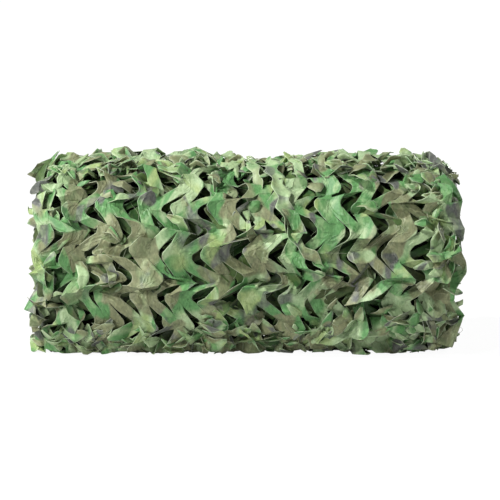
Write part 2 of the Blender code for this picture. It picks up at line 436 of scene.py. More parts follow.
# %% [markdown]
# ## The cuts open
# At a cut the grid's points are doubled, and its two edges move apart. The edge with the
# leaf's tip gives way most and rises, and the other one stays low, as it does on a net
# that is pulled sideways.

# %% Opening of the cuts
TIP_SHARE = 0.74                    # part of the gap that the tip's edge gives way
BAR_SLOPE = 0.14                    # share of its rise that a tip loses up to its creases


def cut_profile(t):
    """How far a leaf has risen at t, from -1 at one end of the cut to 1 at the other:
    nearly level between the creases, then down along straight facets."""
    t = np.abs(t)
    bar = BAR_CREASE / HALF_CUT
    return np.where(t < bar, 1 - BAR_SLOPE * t / bar, (1 - BAR_SLOPE) * (1 - t) / (1 - bar))


def opened_cuts(grid, leaf, rise):
    """The move across and the rise of the points left and right of every line. A gap is
    (1 - t^2) of its width, and a bar stands up like a low roof, 1 - |tau|."""
    risen = np.where(grid.is_cut, cut_profile(grid.t) * (1 + leaf.lean[grid.cut] * grid.t), 0)
    opened = np.where(grid.is_cut, (1 - grid.t * grid.t) * leaf.gap[grid.cut], 0)
    tip_right = grid.cut_row % 2 == 0               # "<" cuts: the tip is on their right
    share_right = np.where(tip_right, TIP_SHARE, 1 - TIP_SHARE)
    roof = leaf.middle[grid.bar] * np.clip(1 - np.abs(grid.tau), 0, 1)
    roof = np.where(grid.is_cut, 0, roof)
    tip = leaf.tip[grid.cut]
    lip = leaf.lip[grid.cut]
    left_rise = risen * np.where(tip_right, lip, tip) * rise + roof
    right_rise = risen * np.where(tip_right, tip, lip) * rise + roof
    return -(1 - share_right) * opened, share_right * opened, left_rise, right_rise


print("a leaf has risen by", cut_profile(np.array([0, 0.5, 1.0])), "of its height")

# %% [markdown]
# ## From the lines to the whole sheet
# Between two lines the cloth blends from one edge to the next. A straight blend makes
# stiff slats, so the rise takes a power: under one the leaf is puffed up to its hinge,
# and over one it stays low and flares at its tip.


# %% Between the lines
def filled(grid, left, right, power=1.0):
    """Values at every column, from those left and right of the lines. Across a cell,
    the higher edge a falls as (1 - s)^p, or the higher edge b is reached by s^p."""
    a = right[:-1, None, :]
    b = left[1:, None, :]
    s = grid.share[:-1][None, :, None]
    high = np.where(a > b, (1 - s) ** power, 1 - s ** power)
    columns = (b + (a - b) * high).reshape(-1, left.shape[1])
    whole = np.concatenate([columns, left[-1:]])
    whole[::grid.cells] = left
    return whole


def leaf_flare(grid, seed):
    """The power of every leaf, e^(0.9 noise), a little different from the next one's."""
    at = np.broadcast_arrays(grid.line[:-1] * 0.9, grid.levels[None, :] * 0.9, seed)
    return np.exp(0.9 * noise(np.stack(at, -1), 1.0, seed + 3))[:, None, :]


print("powers", leaf_flare(small_grid, 1).min(), "to", leaf_flare(small_grid, 1).max())

# %% [markdown]
# ## What each point knows
# The materials need each point's place on the uncut cloth, for the print, and its distance
# from the nearest cut, for the pale rims. Worked out here from the grid they are exact,
# and nothing has to be measured on the finished mesh.

# %% Places and distances
SELVAGE = 1.3                       # half columns over which the side runs straight
HELD_PART = 0.4                     # of a bar, about its middle


def flat_places(grid):
    """Each point's place on the uncut cloth: across it, and along it. The zigzag's bends
    fade to 0.15 of their depth at the two straight sides."""
    half = LEAF_PITCH / 2
    columns = grid.half_columns
    across = (np.arange(columns)[:, None] + grid.share[:-1]).ravel() - columns / 2
    across = np.append(across * half, columns / 2 * half)[:, None]
    from_side = columns / 2 - np.abs(across) / half
    bent = 0.15 + 0.85 * smooth_step(from_side, 0, SELVAGE)
    flat_across = across + zigzag(grid.levels)[None, :] * bent
    return flat_across, np.broadcast_to(grid.levels * ROW_PITCH, flat_across.shape)


def edge_distance(grid):
    """Distance to the nearest cut edge or free side, no more than half a pitch."""
    half = LEAF_PITCH / 2
    cut_here = grid.is_cut | ~grid.inner
    s = grid.share[:-1][None, :, None]
    near_left = np.where(cut_here[:-1, None, :], s * half, half)
    near_right = np.where(cut_here[1:, None, :], (1 - s) * half, half)
    edge = np.minimum(near_left, near_right).reshape(-1, len(grid.levels))
    edge = np.concatenate([edge, np.zeros((1, len(grid.levels)))])
    edge[::grid.cells] = np.where(cut_here, 0, half)
    return edge


def held_places(grid, leaf, shape):
    """How firmly each point is held: in the middle of the bars by the leaf's own number,
    fully where the cloth begins and ends, and elsewhere not at all."""
    held = np.zeros(shape)
    middle = (np.abs(grid.tau) < HELD_PART) & ~grid.is_cut
    held[::grid.cells] = middle * leaf.hold[grid.bar]
    held[:, [0, -1]] = 1
    return held


small_flat = flat_places(small_grid)[0]
print("the small cloth is", np.ptp(small_flat) / MM, "mm wide, and its points lie up to",
      edge_distance(small_grid).max() / MM, "mm from a cut")

# %% [markdown]
# ## A cloth of leaves
# Now the parts are put together: a flat cloth whose cuts are open and whose leaves have
# risen. The points along every cut are there twice, once for the cloth left of it and
# once for the cloth right of it.


# %% Leaf-cut cloth
def leaf_cloth(half_columns, rows, cells, row_cells, seed, rise=1.0):
    """A sheet of leaves, still flat: for every point its places before and after the cuts
    open, its rise, its distance from an edge and its hold; and the quads."""
    grid = cut_grid(half_columns, rows, cells, row_cells)
    leaf = leaf_characters(rows, half_columns + 1, np.random.default_rng(seed))
    left_move, right_move, left_rise, right_rise = opened_cuts(grid, leaf, rise)
    flat_across, flat_along = flat_places(grid)
    across = flat_across + filled(grid, left_move, right_move)
    lift = filled(grid, left_rise, right_rise, leaf_flare(grid, seed))
    edge = edge_distance(grid)

    # the cloth right of a cut has points of its own
    cut = np.nonzero(grid.is_cut)
    at = (cut[0] * cells, cut[1])
    index = np.arange(across.size).reshape(across.shape)
    right = index.copy()
    right[at] = across.size + np.arange(len(cut[0]))
    none = np.zeros(len(cut[0]))
    sheet = {
        "flat_across": (flat_across, flat_across[at]),
        "flat_along": (flat_along, flat_along[at]),
        "across": (across, flat_across[at] + right_move[cut]),
        "lift": (lift, right_rise[cut]),
        "edge": (edge, none),
        "hold": (held_places(grid, leaf, edge.shape), none),
    }
    sheet = {key: np.concatenate([all_points.ravel(), copies])
             for key, (all_points, copies) in sheet.items()}
    corners = (right[:-1, :-1], index[1:, :-1], index[1:, 1:], right[:-1, 1:])
    quads = np.stack(corners, axis=-1).reshape(-1, 4)
    return SimpleNamespace(levels=grid.levels, **sheet), quads


small_cloth, small_quads = leaf_cloth(4, 3, 2, (1, 1, 1), 0)
print("the small cloth has", len(small_cloth.lift), "points and", len(small_quads), "quads")

# %% [markdown]
# ## Where the net is ruffled, and how it crumples
# The roll was handled along its top, rests on its bottom edge and was pushed in at its
# ends, so its leaves are ruffled there and lie in fair rows over the middle of the front.
# One measure of that, from 0 to 1.2, steers everything that follows. The crumples come at
# three sizes: slack waves, folds as wide as a leaf, and small creases.

# %% Ruffles and crumples
RUFFLED_TOP = np.radians((197, 17))         # middle and width of the band along the top
RUFFLED_BOTTOM = np.radians((323, 25))      # and of the one along the bottom of the front
ENDS_FROM = 190 * MM
ENDS_TO = 250 * MM
LEFT_END_RUFFLED = 0.6
RIGHT_END_RUFFLED = 0.95
WAVES = (80 * MM, 1.8 * MM)                 # size and height
FOLDS = (24 * MM, 3.4 * MM)
CREASES = (12 * MM, 1.3 * MM)


def tousled(x, angle):
    """How much the leaves are ruffled: two bands exp(-((angle - middle) / width)^2), and
    smooth steps towards the ends."""
    top = np.exp(-((angle - RUFFLED_TOP[0]) / RUFFLED_TOP[1]) ** 2)
    bottom = np.exp(-((angle - RUFFLED_BOTTOM[0]) / RUFFLED_BOTTOM[1]) ** 2)
    ends = smooth_step(np.abs(x), ENDS_FROM, ENDS_TO)
    ends = np.where(x < 0, LEFT_END_RUFFLED, RIGHT_END_RUFFLED) * ends
    return np.clip(top + bottom + ends, 0, 1.2)


def crumple(across, along, depth, seed):
    """Slack waves, leaf-wide facets and small creases, added up."""
    points = np.stack([across, along, np.full_like(across, seed)], axis=-1)
    waves = noise(points, WAVES[0], seed) * WAVES[1]
    folds = facets(across, along, FOLDS[0], seed + 1) * FOLDS[1]
    creases = facets(across, along, CREASES[0], seed + 2) * CREASES[1]
    return depth * (waves + folds + creases)


print("ruffled: top", tousled(0.0, RUFFLED_TOP[0]), "front", tousled(0.0, 3 * TURN / 4),
      "right end", tousled(ENDS_TO, 3 * TURN / 4))

# %% [markdown]
# ## Winding the cloth round the roll
# The flat cloth's length becomes the angle about the axis. A simulation could wind it,
# but the turns would have to be pushed over each other for minutes, so the winding is a
# formula. Past the straight part of its width the cloth bends over the roll's shoulder:
# the angle of the bend is the length past it over the radius of the curl.

# %% Winding
TURN_RADIUS = 122.5 * MM        # mean radius that the loose turn's length is measured on
STRAIGHT_HALF = 240 * MM        # half the width that lies straight along the roll
LEFT_CURL = 27 * MM
RIGHT_CURL = 52 * MM
ASKEW = 9 * MM                  # the net was wound a little skew


def over_shoulder(across, angle, stand):
    """Places on the roll, a distance outside its surface. Past the straight part, with c
    the curl and b = past / c the bend, x grows by (c + stand) sin b, and the radius
    shrinks by c (1 - cos b)."""
    past = np.maximum(np.abs(across) - STRAIGHT_HALF, 0)
    curl = np.where(across < 0, LEFT_CURL, RIGHT_CURL)
    bend = np.minimum(past / curl, np.pi / 2)
    reach = np.minimum(np.abs(across), STRAIGHT_HALF) + (curl + stand) * np.sin(bend)
    x = np.copysign(reach, across)
    radius = section_radius(x, angle) + TURN_GAP + stand * np.cos(bend)
    return around_roll(x, angle, radius - curl * (1 - np.cos(bend)))


def wandered(place, wide, fine, fine_reach, ruffle, seed):
    """How far the rows wander: 9 mm over wide stretches, and a finer wander on top of it
    that grows where the net is ruffled."""
    slow = noise(place, wide, seed) * 9 * MM
    return slow + noise(place, fine, seed + 2) * fine_reach * (0.3 + ruffle)


def wound(sheet, start, sink, crumpled, seed, floor, uneven_sink=0.0):
    """Lays a flat sheet of leaves round the roll, sunk below the loose turn's surface."""
    angle = start + sheet.flat_along / TURN_RADIUS
    place = np.stack([sheet.across, sheet.flat_along, np.full_like(angle, sink)], axis=-1)
    ruffle = tousled(sheet.across, angle)
    skew = ASKEW * np.cos(angle) * np.clip(1.2 - (sheet.across / 0.25) ** 2, 0, 1)
    across = sheet.across - skew
    across = across + wandered(place, 62 * MM, 32 * MM, 9 * MM, ruffle, seed + 5)
    around = wandered(place, 58 * MM, 30 * MM, 10 * MM, ruffle, seed + 6)
    lift = sheet.lift * (1 + 0.4 * ruffle)
    lift = lift + crumple(across, sheet.flat_along, crumpled, seed)
    sink = sink + uneven_sink * noise(place, 55 * MM, seed + 9)
    points = over_shoulder(across, angle + around / TURN_RADIUS, lift - sink)
    points[:, 2] = np.maximum(points[:, 2], floor)
    return points


small_points = wound(small_cloth, 0.0, 0.0, 1.0, 0, 0.0)
print("the small cloth, wound, reaches from", small_points.min(0), "to", small_points.max(0))

# %% [markdown]
# ## The facets of a leaf
# Coated cloth keeps its facets flat and folds between them. So before the net is let go,
# every quad gets the number of its facet. The cloth folds along the levels where the cuts
# end: a bar between two cuts is one facet, and the leg between two bars another. Some
# legs stay flat with a bar, some tips have a fold of their own, and ruffled leaves have
# more folds. Chance decides, but always in the same way for the same leaf.

# %% Facets of a leaf
MOST_LINES = 64
TIP_FOLD = (13, 5)              # millimetres from the tip, and how much that changes
TIPS_FOLDED = -0.2              # tips whose number lies below this are folded
LEG_STAYS = 0.5                 # legs past this either way stay flat with a bar
BAR, LEG = 0, 2                 # kinds of facet; 1 is a bar's tip


def numbered(row, line, kind):
    """A number of its own for every row, line and kind of facet."""
    return (row * MOST_LINES + line) * 4 + MOST_LINES ** 2 + kind


def folded_bars(at, bar, seed):
    """The quads in a bar, which is a little longer on one side than on the other."""
    side = np.where(at.level > at.row, 1, 2)
    reach = BAR_CREASE + 0.11 * hashed(at.row, bar, side, seed)
    reach = reach + 0.16 * hashed(at.row, bar, side + 3, seed) * (at.across - bar)
    return np.abs(at.level - at.row) < reach


def folded_tips(at, bar, seed):
    """The quads near the tips that are folded: left tips in even rows, right in odd."""
    bend = zigzag(at.level) - zigzag(at.row)
    from_left = (at.across - bar + 1) * LEAF_PITCH / 2 + bend
    from_right = (bar + 1 - at.across) * LEAF_PITCH / 2 - bend
    depth = (TIP_FOLD[0] + TIP_FOLD[1] * hashed(at.row, bar, 7, seed)) * MM
    near = np.where(at.row % 2 == 0, from_left, from_right) < depth
    return near & (hashed(at.row, bar, 8, seed) < TIPS_FOLDED)


def leg_numbers(at, seed):
    """The numbers of the legs, or of the bar above or below that a leg stays flat with."""
    above = np.floor(at.level).astype(int)
    fate = hashed(above, at.ribbon, 9, seed)
    number = numbered(above, at.ribbon, LEG)
    for row, stays in ((above, fate < -LEG_STAYS), (above + 1, fate > LEG_STAYS)):
        beside = np.where(at.ribbon % 2 == 1 - row % 2, at.ribbon, at.ribbon + 1)
        number = np.where(stays, numbered(row, beside, BAR), number)
    return number


print("the third bar of row two is facet", numbered(2, 3, BAR))


# %% Folds across the facets
def folded_again(number, x, y, ruffle, seed):
    """Folds many facets once more, along a line of any direction near their middle. The
    first time most facets get a fold, and later only the ruffled ones."""
    for times in range(3):
        size = np.bincount(number)
        away_x = x - (np.bincount(number, x) / size)[number]
        away_y = y - (np.bincount(number, y) / size)[number]
        heading = np.pi * hashed(number, times, 11, seed)
        shift = 3 * MM * hashed(number, times, 12, seed)
        beyond = away_x * np.cos(heading) + away_y * np.sin(heading) > shift
        chosen = hashed(number, times, 13, seed) < 0.5 - 0.5 * times + 1.1 * ruffle
        number = np.unique(number * 2 + (beyond & chosen), return_inverse=True)[1]
    return number


def facet_numbers(half_columns, cells, levels, start, seed):
    """The number of the flat facet that each quad belongs to."""
    across = ((np.arange(half_columns * cells) + 0.5) / cells)[:, None]
    level = ((levels[1:] + levels[:-1]) / 2)[None, :]
    across, level = np.broadcast_arrays(across, level)
    at = SimpleNamespace(across=across, level=level, row=np.round(level).astype(int),
                         ribbon=np.floor(across).astype(int))
    odd = 1 - at.row % 2
    bar = 2 * np.round((across - odd) / 2).astype(int) + odd
    bar_number = numbered(at.row, bar, BAR) + folded_tips(at, bar, seed)
    number = np.where(folded_bars(at, bar, seed), bar_number, leg_numbers(at, seed))
    number = np.unique(number.ravel(), return_inverse=True)[1]
    x = ((across - half_columns / 2) * LEAF_PITCH / 2 + zigzag(level)).ravel()
    y = (level * ROW_PITCH).ravel()
    return folded_again(number, x, y, tousled(x, start + y / TURN_RADIUS), seed)


small_facets = facet_numbers(4, 2, small_cloth.levels, 0.0, 0)
print("the small cloth folds into", len(np.unique(small_facets)), "facets")

# %% [markdown]
# ## Letting the net settle
# A formula can lay the leaves out, but it can't pull on them. Blender's Cloth bends in
# soft curves, and this cloth has crisp facets, so the sheet settles in numpy: springs pull
# its points to the distances that they have on the flat cloth, while every facet is drawn
# flat. The net is set drawn out along the roll, so its cuts open, and slack round it, so
# that the leaves overlap.

# %% Springs of the cloth
SPRING_STIFFNESS = (1.0, 0.7, 0.02)     # along the threads, askew to them, in bending


def index_pairs(first, second):
    """Two arrays of point numbers, as rows of pairs."""
    return np.stack([first.ravel(), second.ravel()], 1)


def spring_pairs(quads, columns, rows):
    """The points that the cloth joins: neighbours along the threads, the two diagonals of
    each quad, and points two apart for a little stiffness against bending."""
    grid = quads.reshape(columns, rows, 4)
    a, b, c, d = (grid[..., corner] for corner in range(4))
    threads = np.concatenate([index_pairs(a, b), index_pairs(d, c),
                              index_pairs(a, d), index_pairs(b, c)])
    threads = np.unique(np.sort(threads, axis=1), axis=0)
    crossed = np.concatenate([index_pairs(a, c), index_pairs(b, d)])
    joined = b[:-1] == a[1:]
    bends = [index_pairs(a[:-1][joined], b[1:][joined]), index_pairs(a[:, :-1], d[:, 1:]),
             index_pairs(b[:, :-1], c[:, 1:])]
    return threads, crossed, np.unique(np.concatenate(bends), axis=0)


small_springs = spring_pairs(small_quads, 8, len(small_quads) // 8)
print("the small cloth has", [len(part) for part in small_springs], "springs")


# %% Flat facets
def facet_parts(members, rest):
    """For each pair of a point and a facet that it belongs to: where the point lies on the
    flat facet, measured from the facet's middle."""
    vertex = members[:, 0]
    facet = np.unique(members[:, 1], return_inverse=True)[1]
    size = np.bincount(facet)[:, None]
    middle = np.stack([np.bincount(facet, rest[:, side]) for side in range(2)], 1) / size
    return SimpleNamespace(vertex=vertex, facet=facet, size=size,
                           flat=rest - middle[facet], shares=np.bincount(vertex)[:, None])


def flattened(here, parts):
    """Where each point would be if every facet kept its flat form: the facet's points are
    turned and moved as one, by the turn R that fits them best. With the sum A of
    (place - centre) x (flat place), the best turn is R = U V' from A = U S V'."""
    facet = parts.facet
    place = here[parts.vertex]
    sums = [np.bincount(facet, place[:, axis]) for axis in range(3)]
    centre = (np.stack(sums, 1) / parts.size)[facet]
    away = place - centre
    fit = [[np.bincount(facet, away[:, axis] * parts.flat[:, side]) for side in range(2)]
           for axis in range(3)]
    u, _, v = np.linalg.svd(np.array(fit).transpose(2, 0, 1), full_matrices=False)
    goal = centre + np.einsum("ijk,ik->ij", (u @ v)[facet], parts.flat)
    summed = [np.bincount(parts.vertex, goal[:, axis]) for axis in range(3)]
    return np.stack(summed, 1) / parts.shares


square = np.array([[0, 0], [1, 0], [1, 1], [0, 1]]) * MM
square_parts = facet_parts(np.stack([np.arange(4), np.zeros(4, int)], 1), square)
print("corners of a small square facet", square_parts.flat.tolist())


# %% Settling
STEPS = 260
MOMENTUM = 0.85                 # of its last move that a point keeps
LATE = (0.6, 0.9)               # share of the steps over which the sheet comes to rest
EARLY_FLAT = 0.35               # how far the facets are drawn flat at each step
LATE_FLAT = 0.95
HOLD = 0.5                      # pull of a held point back to its place


def spring_moves(here, pairs, length, stiffness):
    """Each spring moves its two points towards each other by half of what it is too long,
    times its stiffness; a point's moves are added up."""
    apart = here[pairs[:, 1]] - here[pairs[:, 0]]
    distance = np.linalg.norm(apart, axis=1)
    pull = (0.5 * stiffness * (1 - length / distance))[:, None] * apart
    moves = np.concatenate([pull, -pull])
    both = pairs.T.ravel()
    summed = [np.bincount(both, moves[:, axis], len(here)) for axis in range(3)]
    return np.stack(summed, 1)


def settled(points, springs, lengths, parts, hold, floor):
    """Lets a sheet find its form by dynamic relaxation: spring moves are averaged and
    carried on with some momentum, every facet is drawn flat, and held points are drawn
    back to their places. Towards the end momentum and hold fade and the facets win."""
    pairs = np.concatenate(springs)
    length = np.concatenate(lengths)
    stiffness = np.concatenate([np.full(len(part), value)
                                for part, value in zip(springs, SPRING_STIFFNESS)])
    doubled = np.concatenate([stiffness, stiffness])
    total = np.bincount(pairs.T.ravel(), doubled, len(points))[:, None]
    here = points.copy()
    speed = np.zeros_like(points)
    for step in range(STEPS):
        late = smooth_step(step / STEPS, *LATE)
        change = spring_moves(here, pairs, length, stiffness)
        speed = MOMENTUM * (1 - late) * speed + (1 - 0.8 * late) * change / total
        here = here + speed
        flatness = EARLY_FLAT + (LATE_FLAT - EARLY_FLAT) * late
        here = here + flatness * (flattened(here, parts) - here)
        here = here + (hold * HOLD * (1 - 0.9 * late))[:, None] * (points - here)
        here[:, 2] = np.maximum(here[:, 2], floor)
    for step in range(STEPS // 16):
        here = flattened(here, parts)
        here[:, 2] = np.maximum(here[:, 2], floor)
    moved = np.linalg.norm(here - points, axis=1)
    print("settled in", STEPS, "steps, its points moved by", moved.mean() / MM, "mm")
    return here


print("a sheet settles in", STEPS, "steps")

# %% [markdown]
# ## How far the net gives
# The net is pulled more in one place than in another, and that is what keeps its rows from
# looking printed. So the cloth's rest size changes over the sheet: each flat length is
# divided by STRETCH across the rows and multiplied by SLACK along them, both with noise.

# %% Give of the net
STRETCH = 1.32                  # drawn out along the roll, which opens the cuts
SLACK = 1.4                     # slack round it, so that the leaves fold and overlap
LEAST_HOLD = 0.08               # every point is held this much


def net_give(sheet, start, seed):
    """The factors that each point's flat places across and along are rest-sized by."""
    place = np.stack([sheet.flat_across, sheet.flat_along,
                      np.full_like(sheet.flat_across, seed)], axis=-1)
    ruffle = tousled(sheet.flat_across, start + sheet.flat_along / TURN_RADIUS)
    wide = 1 / (STRETCH + 0.12 * noise(place, 90 * MM, seed + 61)
                + 0.2 * noise(place, 34 * MM, seed + 63) + 0.04 * ruffle)
    long = (SLACK + 0.14 * noise(place, 80 * MM, seed + 62)
            + 0.14 * noise(place, 36 * MM, seed + 64) + 0.15 * ruffle)
    return wide, long


small_give = net_give(small_cloth, 0.0, 0)
print("give across", small_give[0].mean(), "and along", small_give[1].mean())


# %% Rest sizes
def rest_lengths(sheet, springs, wide, long):
    """Each spring's length on the flat cloth, with the mean give of its two points."""
    u = sheet.flat_across
    v = sheet.flat_along
    lengths = []
    for part in springs:
        i = part[:, 0]
        j = part[:, 1]
        lengths.append(np.hypot((u[i] - u[j]) * (wide[i] + wide[j]) / 2,
                                (v[i] - v[j]) * (long[i] + long[j]) / 2))
    return lengths


def rest_facets(sheet, members, wide, long):
    """The flat forms of the facets, each with the mean give of its own points."""
    vertex = members[:, 0]
    facet = np.unique(members[:, 1], return_inverse=True)[1]
    size = np.bincount(facet)
    wide_here = (np.bincount(facet, wide[vertex]) / size)[facet]
    long_here = (np.bincount(facet, long[vertex]) / size)[facet]
    rest = np.stack([sheet.flat_across[vertex] * wide_here,
                     sheet.flat_along[vertex] * long_here], 1)
    return facet_parts(members, rest)


def settled_net(sheet, quads, points, facet, columns, start, seed, floor):
    """The wound sheet after it has settled, and a mark on the points where facets meet."""
    members = np.unique(np.stack([quads.ravel(), np.repeat(facet, 4)], 1), axis=0)
    springs = spring_pairs(quads, columns, len(quads) // columns)
    wide, long = net_give(sheet, start, seed)
    lengths = rest_lengths(sheet, springs, wide, long)
    parts = rest_facets(sheet, members, wide, long)
    hold = np.maximum(sheet.hold, LEAST_HOLD)
    points = settled(points, springs, lengths, parts, hold, floor)
    fold = (np.bincount(members[:, 0], minlength=len(points)) > 1).astype(float)
    return points, fold


small_lengths = rest_lengths(small_cloth, small_springs, *small_give)
print("threads of the small cloth", small_lengths[0].mean() / MM, "mm from point to point")

# %% [markdown]
# ## The finish of a sheet
# Smooth shading over a whole leaf would round its folds off, and flat shading would show
# every quad. So a sheet is shaded smooth, and the edges that fold sharply, or where two
# facets meet, are marked sharp. Solidify gives the cloth its thickness, so that a leaf
# seen edge on doesn't vanish.

# %% Thickness and folds
CLOTH = 0.6 * MM
SHARP_FOLD = 13                 # degrees past which an edge stays sharp


def thickened(piece):
    """Gives a sheet the thickness of the cloth, half of it to either side."""
    solid = piece.modifiers.new("cloth", "SOLIDIFY")
    solid.thickness = CLOTH
    solid.offset = 0.0
    return piece


def smooth(piece, sharp=SHARP_FOLD):
    """Smooth shading, but for edges that fold by more than the given degrees."""
    piece.data.shade_smooth()
    piece.data.set_sharp_from_angle(angle=np.radians(sharp))
    return piece


def creased(piece, facet):
    """Marks the edges between two facets as sharp: those whose least and greatest facet
    numbers differ."""
    mesh = piece.data
    edge_of_corner = np.empty(len(mesh.loops), np.int32)
    mesh.loops.foreach_get("edge_index", edge_of_corner)
    low = np.full(len(mesh.edges), 2 ** 30)
    high = np.zeros(len(mesh.edges), np.int64)
    np.minimum.at(low, edge_of_corner, np.repeat(facet, 4))
    np.maximum.at(high, edge_of_corner, np.repeat(facet, 4))
    sharp = np.empty(len(mesh.edges), bool)
    marks = mesh.attributes["sharp_edge"].data
    marks.foreach_get("value", sharp)
    marks.foreach_set("value", sharp | (low != high))
    print(piece.name, int((low != high).sum()), "edges between facets")
    return piece


def flat_coordinates(sheet, seed):
    """The places on the uncut cloth that the print is drawn on. The third one tells
    sheets apart, so that no two show the same part of the print."""
    return np.stack([sheet.flat_across, sheet.flat_along,
                     np.full(len(sheet.lift), seed * 0.37)], axis=-1)


# %% [markdown]
# ## Three turns of leaves
# One turn of the net alone would show a bare drum through its gaps. The loose outer turn
# is settled leaf by leaf. The two turns below show only through its gaps, so they are
# coarser, lie deeper, and are left as they were wound. Their cloth is darkened with
# painted shade, for the shade that the turns above throw on them.

# %% Outer, under and deep leaves
COLUMNS = 12
ROWS = 24
START = np.radians(18.7)        # where the loose turn begins, from the bottom
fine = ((3, 3, 3))


def leaf_layer(name, cells, row_cells, seed, start, sink, crumpled, rise=1.0,
               floor=0.5 * MM, uneven_sink=0.0, settle=False):
    """One turn of leaf-cut cloth, with its flat coordinates kept for the print."""
    sheet, quads = leaf_cloth(2 * COLUMNS, ROWS, cells, row_cells, seed, rise)
    points = wound(sheet, start, sink, crumpled, seed, floor, uneven_sink)
    attributes = {"flat": flat_coordinates(sheet, seed), "edge": sheet.edge}
    if not settle:
        return thickened(smooth(new_mesh(name, points, quads[:, ::-1], attributes)))
    columns = 2 * COLUMNS * cells
    facet = facet_numbers(2 * COLUMNS, cells, sheet.levels, start, seed)
    points, attributes["fold"] = settled_net(sheet, quads, points, facet, columns, start,
                                             seed, floor)
    piece = smooth(new_mesh(name, points, quads[:, ::-1], attributes))
    return thickened(creased(piece, facet))


outer = leaf_layer("outer_leaves", 7, fine, seed=11, start=START, sink=0.0, crumpled=2.2,
                   settle=True)
under = leaf_layer("under_leaves", 5, (2, 2, 2), seed=23, start=START + 0.06,
                   sink=7.5 * MM, crumpled=1.0, rise=0.8, floor=1.2 * MM,
                   uneven_sink=3.5 * MM)
deep = leaf_layer("deep_leaves", 4, (1, 2, 1), seed=37, start=START - 0.05,
                  sink=12 * MM, crumpled=1.0, rise=0.6, floor=2 * MM,
                  uneven_sink=3 * MM)

# %% [markdown]
# ## The dark heart of the roll
# Behind the gaps lie the inner turns, in deep shade. Some twenty more turns of leaves
# could be wound, but none of them would be seen. One closed, crumpled form stands for
# them, rounded at its two ends. Its one dark colour is painted shade: the cloth as it
# looks in that shade.

# %% Inner turns
HEART_SINK = 14 * MM            # below the surface of the inner turns
HEART_END = 242 * MM            # from the middle to either end
END_ROUNDING = 12 * MM
END_SHARE = 0.2                 # of the rings, that each end takes
HEART_FLOOR = 3 * MM
HEART_CRUMPLE = 2 * MM


def inner_form(name, rings=72, segments=120):
    """A grid of rings from one end's middle to the other's: the profile is a rounded
    rectangle in (x, share of radius), swept round the oval section."""
    s = np.linspace(0, 1, rings)
    near_end = np.clip(np.minimum(s, 1 - s) / END_SHARE, 0, 1)
    share = np.sin(near_end * np.pi / 2) ** 0.9
    x = np.interp(s, [0, END_SHARE, 1 - END_SHARE, 1],
                  [-HEART_END, END_ROUNDING - HEART_END, HEART_END - END_ROUNDING, HEART_END])
    angle = np.linspace(0, TURN, segments, endpoint=False)
    x, angle = np.meshgrid(x, angle, indexing="ij")
    radius = share[:, None] * (section_radius(x, angle) - HEART_SINK)
    points = around_roll(x, angle, radius).reshape(-1, 3)
    points += (noise(points, 16 * MM, 5) * HEART_CRUMPLE)[:, None] * 0.6
    points[:, 2] = np.maximum(points[:, 2], HEART_FLOOR)

    # the first and the last ring are one point each, which closes the ends
    index = np.arange(rings * segments).reshape(rings, segments)
    index[0] = index[0, 0]
    index[-1] = index[-1, 0]
    ahead = np.roll(index, -1, axis=1)
    quads = np.stack([index[:-1], ahead[:-1], ahead[1:], index[1:]], axis=-1)
    used, quads = np.unique(quads, return_inverse=True)
    faces = [tuple(dict.fromkeys(quad)) for quad in quads.reshape(-1, 4).tolist()]
    piece = bpy.data.objects.new(name, bpy.data.meshes.new(name))
    piece.data.from_pydata(points[used].tolist(), [], faces)
    scene.collection.objects.link(piece)
    print(name, len(used), "points", len(faces), "faces")
    return piece


heart = smooth(inner_form("inner_turns"))

# %% [markdown]
# ## The folds at the roll's ends
# The net was folded to a strip before it was wound, so both ends of the roll show its
# folds. Flat discs with a spiral drawn on them would look like a rug. Here each end is one
# long strip of leaves, bent to a U along its middle and wound in a spiral. The spiral's
# radius grows by the same step in every turn.

# %% Sizes of the end folds
FOLD_COLUMNS = 3                # half leaf pitches across the strip that shows
FOLD_RADIUS = 3.6 * MM          # of the U
FOLD_TURN = 13 * MM             # from one turn of the spiral to the next
FOLD_START = 12 * MM            # radius at which the spiral begins
FOLD_END = 110 * MM
FOLD_TIP = 262 * MM             # from the roll's middle to the outside of the U
SHOULDER = 26 * MM              # rounding of the end's rim
FOLD_CELLS = 4
FOLD_ROW_CELLS = (1, 2, 2)

spiral_length = np.pi * (FOLD_END ** 2 - FOLD_START ** 2) / FOLD_TURN
FOLD_ROWS = int(spiral_length / ROW_PITCH) - 1


# %% Spirals of folds
def spiral_angle(along):
    """The angle reached after a length s of cloth: (sqrt(r0^2 + 2 b s) - r0) / b, with b
    the growth of the radius per radian."""
    growth = FOLD_TURN / TURN
    return (np.sqrt(FOLD_START ** 2 + 2 * growth * along) - FOLD_START) / growth


